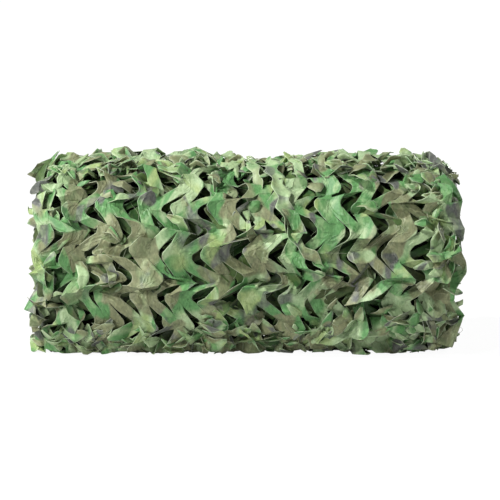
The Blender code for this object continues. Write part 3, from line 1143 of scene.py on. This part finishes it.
def end_turns(name, side, seed, rise, flutter):
    """A strip of leaves bent to a U and wound in a spiral that faces one end. Across the
    strip the angle round the U is a / radius, and past it the arms run straight."""
    sheet, quads = leaf_cloth(FOLD_COLUMNS, FOLD_ROWS, FOLD_CELLS, FOLD_ROW_CELLS, seed, rise)
    across = sheet.across
    place = np.stack([across, sheet.flat_along, np.full_like(across, seed)], axis=-1)
    angle = spiral_angle(sheet.flat_along)
    spiral = FOLD_START + FOLD_TURN / TURN * angle
    bend = np.clip(across / FOLD_RADIUS, -np.pi / 2, np.pi / 2)
    arm = np.maximum(np.abs(across) - FOLD_RADIUS * np.pi / 2, 0)
    stand = FOLD_RADIUS + sheet.lift + crumple(across, sheet.flat_along, 0.6, seed)
    outward = stand * np.cos(bend) - arm
    aside = stand * np.sin(bend) + flutter * noise(place, 40 * MM, seed + 5)
    past = np.clip(spiral - (FOLD_END - SHOULDER), 0, SHOULDER)
    rounded = SHOULDER - np.sqrt(SHOULDER ** 2 - past ** 2)
    uneven = 4 * MM * noise(place, 60 * MM, seed + 7)
    x = side * (FOLD_TIP - FOLD_RADIUS - rounded + uneven + outward)
    oval = section_radius(x, angle) / HALF_DEPTH
    points = around_roll(x, angle, (spiral + aside) * oval)
    points[:, 2] = np.maximum(points[:, 2], 1.5 * MM)
    facing = quads if side > 0 else quads[:, ::-1]
    attributes = {"flat": flat_coordinates(sheet, seed), "edge": sheet.edge}
    return thickened(smooth(new_mesh(name, points, facing, attributes)))


end_folds = [end_turns("left_folds", -1, 51, 0.5, 2.0 * MM),
             end_turns("right_folds", 1, 63, 1.0, 3.5 * MM)]

# %% [markdown]
# ## Strands that have twisted
# Where the roll was pulled tight, a few rows of leaves have turned over and lie as twisted
# strands on top of the others. The settled sheet never turns over by itself, so each
# strand is a ribbon of its own, carried along a path on the roll. A few stations give its
# path and its twist, and a smooth curve joins them.

# %% Stations of the strands
STRANDS = (
    # each: half width in mm, paleness, and stations of
    # (x in mm, degrees round the roll, lift in mm, degrees of twist)
    (9.5, 0.2, ((20, 186, 6, -60), (24, 197, 11, -20), (30, 210, 13, 10),
                (37, 221, 13, 25), (43, 231, 12, 5), (46, 240, 9, 50), (45, 248, 4, 90))),
    (6.0, 0.0, ((44, 240, 5, 90), (51, 249, 8, 50), (64, 256, 8, 20), (80, 262, 6, -15),
                (92, 268, 0, -60))),
    (6.0, 0.35, ((8, 181, 6, 60), (4, 189, 11, 15), (4, 199, 12, -10),
                 (9, 210, 11, -30), (17, 220, 4, -80))),
    (3.5, 0.3, ((-50, 196, 2, 20), (-56, 190, 6, 40), (-62, 184, 11, 60),
                (-68, 180, 15, 75))),
    (6.0, 0.5, ((192, 303, 2, 50), (206, 305, 5, 15), (222, 306, 6, 0),
                (238, 303, 5, -25), (250, 298, 1, -60))),
)
print(len(STRANDS), "strands")

# %% Path of a strand
STRAND_STEPS = 36
STRAND_CELLS = 6


def curve_through(values, t):
    """A smooth curve through all rows of values, for t from 0 to 1. Between two rows it is
    the cubic whose slopes there are half of what lies between their neighbours."""
    knots = np.linspace(0, 1, len(values))
    i = np.clip(np.searchsorted(knots, t) - 1, 0, len(values) - 2)
    padded = np.vstack([2 * values[0] - values[1], values, 2 * values[-1] - values[-2]])
    u = ((t - knots[i]) * (len(values) - 1))[:, None]
    p0, p1, p2, p3 = (padded[i + k] for k in range(4))
    return 0.5 * (2 * p1 + (p2 - p0) * u + (2 * p0 - 5 * p1 + 4 * p2 - p3) * u ** 2
                  + (3 * p1 - p0 - 3 * p2 + p3) * u ** 3)


def unit(vectors):
    """The vectors (..., 3), each brought to length one."""
    return vectors / np.linalg.norm(vectors, axis=-1)[..., None]


def strand_path(stations, t):
    """The middle line of a ribbon, the direction across it, cos(twist) along the surface
    + sin(twist) outwards, and the direction that its face looks in."""
    curve = curve_through(np.array(stations, float), t)
    x = curve[:, 0] * MM
    angle = np.radians(curve[:, 1])
    lift = curve[:, 2] * MM
    twist = np.radians(curve[:, 3])[:, None]
    middle = around_roll(x - ROLL_SHIFT, angle, section_radius(x, angle) + TURN_GAP + lift)
    ahead = unit(np.gradient(middle, axis=0))
    out = around_roll(0 * x, angle, 1.0 + 0 * x) - around_roll(0 * x, angle, 0 * x)
    out = unit(out - (out * ahead).sum(1)[:, None] * ahead)
    across = np.cos(twist) * np.cross(ahead, out) + np.sin(twist) * out
    return middle, across, np.cross(across, ahead)


some_t = np.linspace(0, 1, STRAND_STEPS + 1)
print("the first strand runs from", strand_path(STRANDS[0][2], some_t)[0][0])


# %% Twisted strands
def strand_points(half_width, stations, seed):
    """Points of one ribbon, its flat coordinates and its distance from an edge. Its width
    swells and shrinks as the zigzag of its cut edges does, and it is bowed and crumpled."""
    t = np.linspace(0, 1, STRAND_STEPS + 1)
    v = np.linspace(-1, 1, STRAND_CELLS + 1)[None, :]
    middle, across, normal = strand_path(stations, t)
    run = np.cumsum(np.linalg.norm(np.diff(middle, axis=0), axis=1))
    run = np.concatenate([[0], run])[:, None]
    ends = np.sqrt(np.clip(1 - (2 * t - 1) ** 6, 0.02, 1))[:, None]
    swell = np.sin(TURN * run / ROW_PITCH + 1.6 * (v > 0) + seed)
    width = half_width * MM * ends * (1 + 0.3 * np.arcsin(0.98 * swell))
    place = np.stack(np.broadcast_arrays(run, v * width, seed), axis=-1)
    bow = (v ** 2 - 0.4) * 0.22 * half_width * MM
    bow = bow + facets(place[..., 0], place[..., 1], 9 * MM, seed) * 0.9 * MM
    points = (middle[:, None, :] + (v * width)[..., None] * across[:, None, :]
              + bow[..., None] * normal[:, None, :])
    flat = np.stack([place[..., 1] + seed * 0.083, place[..., 0], 0 * width], axis=-1)
    return points, flat, (1 - np.abs(v)) * width


def sheet_area(points, quads):
    """The area of all quads: half the length of the cross product of their diagonals."""
    one = points[quads[:, 2]] - points[quads[:, 0]]
    two = points[quads[:, 3]] - points[quads[:, 1]]
    return float(0.5 * np.linalg.norm(np.cross(one, two), axis=1).sum())


def twisted_strands(name):
    """All the ribbons in one piece, with their length end to end and their area."""
    widths, paleness, stations = zip(*STRANDS)
    made = [strand_points(widths[seed], stations[seed], seed) for seed in range(len(STRANDS))]
    points, flat, edge = (np.stack(part) for part in zip(*made))
    pale = np.zeros(edge.shape) + np.array(paleness)[:, None, None]
    length = np.ptp(flat[..., 1], axis=(1, 2)).sum()
    quads = grid_quads(np.arange(edge.size).reshape(edge.shape))
    points = points.reshape(-1, 3)
    attributes = {"flat": flat.reshape(-1, 3), "edge": edge.ravel(), "pale": pale.ravel()}
    piece = new_mesh(name, points, quads, attributes)
    area = sheet_area(points, quads)
    print(name, "length", length, "area", area)
    return thickened(smooth(piece)), float(length), area


strands, strand_length, strand_area = twisted_strands("twisted_strands")

# %% [markdown]
# ## Leaves that came up through the gaps
# Where the roll was handled, along its top, its bottom edge and its ends, single leaves of
# the turns below have come up through the gaps and lie folded on the others. Pulling them
# out of the sheets themselves would tear those, so each is a small sheet of its own: it
# has a blunt tip, is rooted below the surface, and is creased once along its length.

# %% Places of the turned leaves
TURNED_LEAVES = 620
TRIES = 9000                    # places tried; the ruffled ones keep theirs most often
SPREAD_X = (-0.252, 0.256)
SPREAD_ANGLE = (0.5, TURN - 0.3)
TURNED_SEED = 77


def leaf_draws(count, seed):
    """Every random number of the turned leaves. A tried place keeps its leaf with the
    chance 0.012 + 0.5 tousled^2."""
    rng = np.random.default_rng(seed)
    x = rng.uniform(*SPREAD_X, TRIES)
    angle = rng.uniform(*SPREAD_ANGLE, TRIES)
    chance = 0.012 + 0.5 * tousled(x, angle) ** 2
    kept = np.nonzero(rng.random(TRIES) < chance)[0][:count]

    def one_each(low, high):
        """A number for each leaf."""
        return rng.uniform(low, high, (len(kept), 1, 1))

    return SimpleNamespace(
        x=x[kept][:, None, None], angle=angle[kept][:, None, None],
        length=one_each(20, 36) * MM, width=one_each(5, 10) * MM,
        heading=one_each(0, TURN), sway=one_each(-0.7, 0.7), rise=one_each(3, 10) * MM,
        crease=one_each(-0.5, 0.5), turned=one_each(-1.8, 1.8), skew=one_each(-0.6, 0.6),
        droop=one_each(-0.5, 0.5), shift=one_each(0, 3))


draws = leaf_draws(TURNED_LEAVES, TURNED_SEED)
print(len(draws.x), "turned leaves,", int((draws.x > 0).sum()), "of them on the right half")

# %% Turned leaves
LEAF_STEPS = 6
LEAF_CELLS = 4
ROOT = 5 * MM                   # how deep a leaf is rooted
LEFT_LIMIT, RIGHT_LIMIT = -0.268, 0.272


def turned_form(leaf, t, v):
    """A leaf's points before it is turned to its heading: its run is length * t, and it
    narrows to its tip. Past its crease the side is turned up by an angle, and past its
    middle it sways aside and droops."""
    narrow = np.clip((1.12 - t) / 0.45, 0, 1)
    side = v * leaf.width * narrow
    beyond = np.maximum(side - leaf.crease * leaf.width * narrow, 0)
    past_middle = leaf.length * np.maximum(t - 0.5, 0)
    run = leaf.length * t + leaf.skew * side
    aside = side - beyond * (1 - np.cos(leaf.turned)) + leaf.sway * past_middle
    height = (leaf.rise + ROOT) * np.minimum(t / 0.5, 1) - ROOT
    height = height + leaf.droop * past_middle + beyond * np.sin(leaf.turned)
    return side, run, aside, height, narrow


def turned_leaves(name, leaf):
    """All the turned leaves in one piece, with their length end to end and their area."""
    t = np.linspace(0, 1, LEAF_STEPS + 1)[None, :, None]
    v = np.linspace(-1, 1, LEAF_CELLS + 1)[None, None, :]
    side, run, aside, height, narrow = turned_form(leaf, t, v)
    across = leaf.x + run * np.cos(leaf.heading) - aside * np.sin(leaf.heading)
    across = np.clip(across, LEFT_LIMIT, RIGHT_LIMIT)
    around = run * np.sin(leaf.heading) + aside * np.cos(leaf.heading)
    angle = leaf.angle + around / TURN_RADIUS
    drop = np.maximum(np.abs(across) - STRAIGHT_HALF, 0) * 0.6
    points = around_roll(across, angle, section_radius(across, angle) + TURN_GAP
                         + height - drop)
    points[..., 2] = np.maximum(points[..., 2], 0.6 * MM)
    points = points.reshape(-1, 3)
    flat = np.stack(np.broadcast_arrays(side + leaf.shift, run + leaf.shift, 0 * v), axis=-1)
    edge = np.minimum((1 - np.abs(v)) * leaf.width * narrow, (1.02 - t) * leaf.length)
    quads = grid_quads(np.arange(edge.size).reshape(edge.shape))
    piece = new_mesh(name, points, quads, {"flat": flat.reshape(-1, 3), "edge": edge.ravel()})
    area = sheet_area(points, quads)
    print(name, len(leaf.x), "leaves, area", area)
    return thickened(smooth(piece, 8)), float(leaf.length.sum()), area


turned, turned_length, turned_area = turned_leaves("turned_leaves", draws)

# %% [markdown]
# ## Frayed threads
# The cuts are made in woven cloth, so a few pale threads have come loose. They lie across
# the gaps, and one hangs in a small loop at the right end. Hair particles are drawn by the
# renderer alone and make no mesh, so each thread is a three-sided tube about a short path.

# %% Paths of the threads
THREADS = 200
THREAD_RADIUS = 0.22 * MM
THREAD_STEPS = 14
THREAD_SEED = 91


def thread_paths(count, seed, t):
    """Short paths on the roll, each from a random place along a random heading, bent by
    two sine waves, just below the leaves."""
    rng = np.random.default_rng(seed)

    def one_each(low, high):
        """A number for each thread."""
        return rng.uniform(low, high, (count, 1))

    length = one_each(14, 42) * MM
    heading = one_each(0, TURN)
    sway = one_each(-5, 5) * MM
    sag = one_each(-1, 3) * MM
    along = (t - 0.5) * length
    aside = sway * np.sin(np.pi * t) + 0.4 * sway * np.sin(one_each(2, 4) * np.pi * t)
    x = one_each(-235, 235) * MM + along * np.cos(heading) - aside * np.sin(heading)
    around = along * np.sin(heading) + aside * np.cos(heading)
    angle = one_each(0.6, TURN - 0.6) + around / TURN_RADIUS
    depth = one_each(-4, 1) * MM + sag * np.sin(np.pi * t)
    return around_roll(x, angle, section_radius(x, angle) + TURN_GAP + depth)


def free_loop(t):
    """The loop at the right end: a circle that drifts outwards and down as it runs."""
    turned_by = TURN * (1.15 * t - 0.1)
    return np.stack([0.2605 + 7 * MM * np.sin(turned_by) + 2 * MM * t,
                     -0.078 + 2 * MM * np.cos(turned_by) - 5 * MM * t,
                     0.031 - 5 * MM * np.cos(turned_by) - 2 * MM * t], axis=-1)


thread_t = np.linspace(0, 1, THREAD_STEPS + 1)[None, :]
paths = np.concatenate([thread_paths(THREADS, THREAD_SEED, thread_t), free_loop(thread_t)])
print(len(paths), "threads of", paths.shape[1], "points")


# %% Threads
def tubes(name, paths, radius, sides=3):
    """Tubes about the paths: round each point stands a ring, one * cos + two * sin, with
    one and two square to the path."""
    ahead = unit(np.gradient(paths, axis=1))
    reference = np.where(np.abs(ahead[..., :1]) < 0.8, [1.0, 0, 0], [0, 0, 1.0])
    one = unit(np.cross(ahead, reference))[:, :, None, :]
    two = np.cross(ahead, one[:, :, 0, :])[:, :, None, :]
    around = np.linspace(0, TURN, sides, endpoint=False)[:, None]
    ring = one * np.cos(around) + two * np.sin(around)
    points = paths[:, :, None, :] + radius * ring
    index = np.arange(points[..., 0].size).reshape(points.shape[:3])
    beside = np.roll(index, -1, axis=2)
    quads = np.stack([index[:, :-1], index[:, 1:], beside[:, 1:], beside[:, :-1]], axis=-1)
    points = points.reshape(-1, 3)
    points[:, 2] = np.maximum(points[:, 2], 1 * MM)
    return new_mesh(name, points, quads.reshape(-1, 4)[:, ::-1])


threads = tubes("frayed_threads", paths, THREAD_RADIUS)
threads.data.shade_smooth()

# %% [markdown]
# ## The printed cloth
# The cloth is coated polyester, printed before it was cut: mid green, light green, yellow
# green, olive brown and a little grey, with soft, watery borders. An image texture would
# be tied to one size of cloth. Here noise draws the print on the flat cloth's coordinates,
# so it runs over leaves and creases as print does.

# %% Colours
def srgb(red, green, blue):
    """Linear colour from the 0-255 numbers that a paint chart gives."""
    levels = np.array([red, green, blue]) / 255
    linear = np.where(levels <= 0.04045, levels / 12.92, ((levels + 0.055) / 1.055) ** 2.4)
    return (*linear.tolist(), 1.0)


PRINT_MID = srgb(94, 144, 90)
PRINT_LIGHT = srgb(162, 184, 145)
PRINT_FRESH = srgb(148, 168, 112)
PRINT_OLIVE = srgb(129, 132, 102)
PRINT_GREY = srgb(97, 99, 98)
FADED = srgb(188, 203, 162)
DARKER = srgb(76, 112, 66)
WORN = srgb(225, 235, 205)
CUT_EDGE = srgb(222, 232, 205)
print("the mid green is", PRINT_MID)

# %% Helpers for shader nodes
MIX_A, MIX_B, MIX_RESULT = 6, 7, 2      # a Mix node's colour sockets


def feed(tree, made, inputs):
    """Give a node's inputs, by name or number, a constant or a link."""
    for key, value in inputs.items():
        if isinstance(value, bpy.types.NodeSocket):
            tree.links.new(value, made.inputs[key])
        else:
            made.inputs[key].default_value = value


def node(tree, kind, inputs=None, **settings):
    """A new node with these settings and inputs."""
    made = tree.nodes.new(kind)
    for key, value in settings.items():
        setattr(made, key, value)
    feed(tree, made, inputs or {})
    return made


def ramp(tree, source, stops):
    """A colour ramp of two grey stops (place, value)."""
    made = node(tree, "ShaderNodeValToRGB", {"Fac": source})
    for element, (place, value) in zip(made.color_ramp.elements, stops):
        element.position = place
        element.color = (value, value, value, 1)
    return made.outputs["Color"]


def mixed(tree, share, a, b, blend="MIX"):
    """Colour a with a share of colour b blended in."""
    made = node(tree, "ShaderNodeMix", {"Factor": share, MIX_A: a, MIX_B: b},
                data_type="RGBA", blend_type=blend)
    return made.outputs[MIX_RESULT]


def blotches(tree, flat, size, place, stops, distortion=0.6):
    """A mask with soft borders: noise of a size in metres, read at a place of its own."""
    moved = node(tree, "ShaderNodeMapping", {"Vector": flat, "Location": place})
    made = node(tree, "ShaderNodeTexNoise",
                {"Vector": moved.outputs["Vector"], "Scale": 1 / size, "Detail": 1.5,
                 "Roughness": 0.45, "Distortion": distortion}, noise_dimensions="3D")
    return ramp(tree, made.outputs["Fac"], stops)


print("colours of a mix go into sockets", MIX_A, "and", MIX_B)

# %% Layers of the print
PRINT_LAYERS = (
    # blotch size in metres, place in the noise, stops of the mask, distortion, colour
    (0.056, (3.1, 0.4, 0), ((0.485, 0), (0.525, 1)), 0.6, PRINT_LIGHT),
    (0.048, (5.3, 6.6, 0), ((0.58, 0), (0.66, 1)), 0.6, PRINT_FRESH),
    (0.066, (7.7, 2.2, 0), ((0.525, 0), (0.56, 1)), 0.6, PRINT_OLIVE),
    (0.042, (1.3, 9.1, 0), ((0.59, 0), (0.64, 1)), 0.6, PRINT_GREY),
    (0.024, (8.4, 5.5, 0), ((0.5, 0), (0.68, 0.34)), 1.2, FADED),
    (0.03, (2.9, 6.8, 0), ((0.5, 0), (0.66, 0.32)), 1.0, DARKER),
)
MOTTLING = (
    # size in metres, place in the noise, distortion, share, its dark and light colours
    (0.011, (4.2, 4.2, 0), 1.5, 0.22, srgb(96, 122, 98), srgb(220, 216, 190)),
    (0.0035, (2.2, 8.2, 0), 0.8, 0.5, srgb(120, 124, 116), srgb(215, 215, 205)),
)
MOTTLE_STOPS = ((0.3, 0), (0.7, 1))


def printed_colour(tree, flat):
    """The print's layers over the mid green, then a mottle and fine streaks."""
    colour = PRINT_MID
    for size, place, stops, distortion, layer in PRINT_LAYERS:
        mask = blotches(tree, flat, size, place, stops, distortion)
        colour = mixed(tree, mask, colour, layer)
    for size, place, distortion, share, dark, light in MOTTLING:
        mask = blotches(tree, flat, size, place, MOTTLE_STOPS, distortion)
        colour = mixed(tree, share, colour, mixed(tree, mask, dark, light), "SOFT_LIGHT")
    return colour


print(len(PRINT_LAYERS), "layers of print and", len(MOTTLING), "of mottling")

# %% Print, as a node group
RIDGE_SCALE = 58                # cells in a metre of cloth
RIDGE_WANDER = (0.003, 0.003, 0)


def ridge_distance(tree, flat):
    """Distance from the nearest straight ridge, where the coated cloth was once crumpled:
    the borders of cells, bent a little by noise."""
    wander = node(tree, "ShaderNodeTexNoise", {"Vector": flat, "Scale": 40, "Detail": 0})
    bent = node(tree, "ShaderNodeVectorMath",
                {0: wander.outputs["Color"], 1: RIDGE_WANDER, 2: flat},
                operation="MULTIPLY_ADD")
    cells = node(tree, "ShaderNodeTexVoronoi",
                 {"Vector": bent.outputs["Vector"], "Scale": RIDGE_SCALE},
                 feature="DISTANCE_TO_EDGE")
    return cells.outputs["Distance"]


def print_group(name):
    """From flat coordinates to the print's colour and the distance from a ridge. The
    ridges are worn pale in patches."""
    tree = bpy.data.node_groups.new(name, "ShaderNodeTree")
    tree.interface.new_socket("Flat", in_out="INPUT", socket_type="NodeSocketVector")
    tree.interface.new_socket("Color", in_out="OUTPUT", socket_type="NodeSocketColor")
    tree.interface.new_socket("Crease", in_out="OUTPUT", socket_type="NodeSocketFloat")
    flat = node(tree, "NodeGroupInput").outputs["Flat"]
    crease = ridge_distance(tree, flat)
    on_ridge = ramp(tree, crease, ((0.0, 1), (0.04, 0)))
    patches = blotches(tree, flat, 0.03, (6.1, 3.3, 0), ((0.5, 0), (0.7, 0.16)))
    worn = mixed(tree, 1.0, on_ridge, patches, "MULTIPLY")
    colour = mixed(tree, worn, printed_colour(tree, flat), WORN)
    node(tree, "NodeGroupOutput", {"Color": colour, "Crease": crease})
    return tree


PRINT_GROUP = print_group("woodland_print")
print(PRINT_GROUP.name, "has", len(PRINT_GROUP.nodes), "nodes")

# %% [markdown]
# ## Edges, crinkles and creases
# Along its cut edges the coating has split, which leaves a pale rim. The flat facets of a
# leaf meet in sharp creases, and between them the cloth is crinkled. Real geometry for
# crinkles under a millimetre would need millions of points, so they are bumps.

# %% Colour and bumps of the cloth
RIM_WIDTH = 0.8 * MM
FOLD_POWER = 4.0                # narrows the creases between facets


def attribute(tree, name, output="Fac"):
    """Values that were stored on a mesh's points."""
    return node(tree, "ShaderNodeAttribute", attribute_name=name).outputs[output]


def cloth_colour(tree, printed, shade, rim):
    """The print, washed out where the piece is pale, with a rim of a given strength along
    its cut edges, times a painted shade, which paints light where it is over one."""
    near = node(tree, "ShaderNodeMapRange",
                {"Value": attribute(tree, "edge"), "From Min": 0.0, "From Max": RIM_WIDTH,
                 "To Min": rim, "To Max": 0.0})
    washed = mixed(tree, attribute(tree, "pale"), printed, PRINT_LIGHT)
    colour = mixed(tree, near.outputs["Result"], washed, CUT_EDGE)
    return mixed(tree, 1.0, colour, (*shade, 1), "MULTIPLY")


def cloth_bumps(tree, flat, crease):
    """Four bumps, each on the one before: crinkles, ridges, the creases between facets
    and the grain of the weave."""
    crinkle = node(tree, "ShaderNodeTexVoronoi", {"Vector": flat, "Scale": 110},
                   feature="DISTANCE_TO_EDGE")
    grain = node(tree, "ShaderNodeTexNoise", {"Vector": flat, "Scale": 420, "Detail": 3})
    fold = node(tree, "ShaderNodeMath", {0: attribute(tree, "fold"), 1: FOLD_POWER},
                operation="POWER")
    layers = ((crinkle.outputs["Distance"], 0.2, 1.2 * MM), (crease, 0.24, 3.2 * MM),
              (fold.outputs["Value"], 0.8, 0.9 * MM), (grain.outputs["Fac"], 0.1, 0.4 * MM))
    below = {}
    for height, strength, distance in layers:
        bump = node(tree, "ShaderNodeBump", {"Height": height, "Strength": strength,
                                             "Distance": distance, **below})
        below = {"Normal": bump.outputs["Normal"]}
    return below["Normal"]


print("the pale rim is", RIM_WIDTH, "m wide")


# %% Materials
def new_material(name):
    """A material, its tree and its main shader."""
    material = bpy.data.materials.new(name)
    material.use_nodes = True
    return material, material.node_tree, material.node_tree.nodes["Principled BSDF"]


def cloth_material(name, shade, rim=0.36):
    """Printed cloth, half matt, with a faint sheen."""
    material, tree, shader = new_material(name)
    flat = attribute(tree, "flat", "Vector")
    printed = node(tree, "ShaderNodeGroup", {"Flat": flat}, node_tree=PRINT_GROUP).outputs
    feed(tree, shader, {
        "Base Color": cloth_colour(tree, printed["Color"], shade, rim),
        "Normal": cloth_bumps(tree, flat, printed["Crease"]),
        "Roughness": 0.5, "Specular IOR Level": 0.35,
        "Sheen Weight": 0.08, "Sheen Roughness": 0.5})
    return material


def plain_material(name, colour, roughness):
    """One matt colour."""
    material, tree, shader = new_material(name)
    feed(tree, shader, {"Base Color": colour, "Roughness": roughness})
    return material


outer.data.materials.append(cloth_material("leaf_cloth", (1, 1, 1)))
# The under and deep turns are the print darkened with painted shade.
under.data.materials.append(cloth_material("under_cloth", (0.24, 0.31, 0.17), 0.3))
deep.data.materials.append(cloth_material("deep_cloth", (0.17, 0.24, 0.12), 0.1))
# The inner turns are one dark colour of painted shade.
heart.data.materials.append(plain_material("inner_shade", srgb(32, 38, 24), 0.9))
# The turned leaves take a trace of painted shade.
turned.data.materials.append(cloth_material("turned_cloth", (0.97, 0.98, 0.95)))
# The strands are the print lightened a little with painted light.
strands.data.materials.append(cloth_material("strand_cloth", (1.08, 1.1, 1.05)))
threads.data.materials.append(plain_material("thread_white", srgb(150, 160, 132), 0.7))
# The end folds are the print with a little painted shade.
fold_cloth = cloth_material("fold_cloth", (0.9, 0.9, 0.9))
for piece in end_folds:
    piece.data.materials.append(fold_cloth)
print("materials", [material.name for material in bpy.data.materials])

# %% [markdown]
# ## The surface it lies on
# The roll lies on a white surface without a visible edge. A curved backdrop would show a
# shade where it bends, so this is a flat floor that runs far back. Where it is seen
# directly, most of its light is its own, which keeps it even; in other rays little is,
# so that it still takes the roll's shadow.

# %% Floor
FLOOR_HALF = 40.0
FLOOR_GLOW = 1.12
GLOW_UNSEEN, GLOW_SEEN = 0.06, 0.85


def floor_material(name):
    """Matt white mixed with an even glow, by a share that is larger in camera rays."""
    material = plain_material(name, (0.6, 0.6, 0.6, 1), 0.9)
    tree = material.node_tree
    glow = node(tree, "ShaderNodeEmission", {"Strength": FLOOR_GLOW})
    seen = node(tree, "ShaderNodeLightPath").outputs["Is Camera Ray"]
    share = node(tree, "ShaderNodeMapRange",
                 {"Value": seen, "To Min": GLOW_UNSEEN, "To Max": GLOW_SEEN})
    matt = tree.nodes["Principled BSDF"].outputs["BSDF"]
    both = node(tree, "ShaderNodeMixShader", {"Fac": share.outputs["Result"], 1: matt,
                                              2: glow.outputs["Emission"]})
    feed(tree, tree.nodes["Material Output"], {"Surface": both.outputs["Shader"]})
    return material


corners = np.array([[-1, -1, 0], [1, -1, 0], [1, 1, 0], [-1, 1, 0]]) * FLOOR_HALF
floor = new_mesh("floor", corners, np.array([[0, 1, 2, 3]]))
floor.data.materials.append(floor_material("floor_white"))

# %% [markdown]
# ## Every piece rides on the roll's body
# Nothing on the roll moves by itself, so every piece rides on its one body. The frame's
# own plain turns are hidden.

# %% Pieces on the body
for piece in (outer, under, deep, heart, strands, turned, threads, *end_folds):
    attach(piece, "root")
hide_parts("outer_turn")
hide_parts("wound_roll")
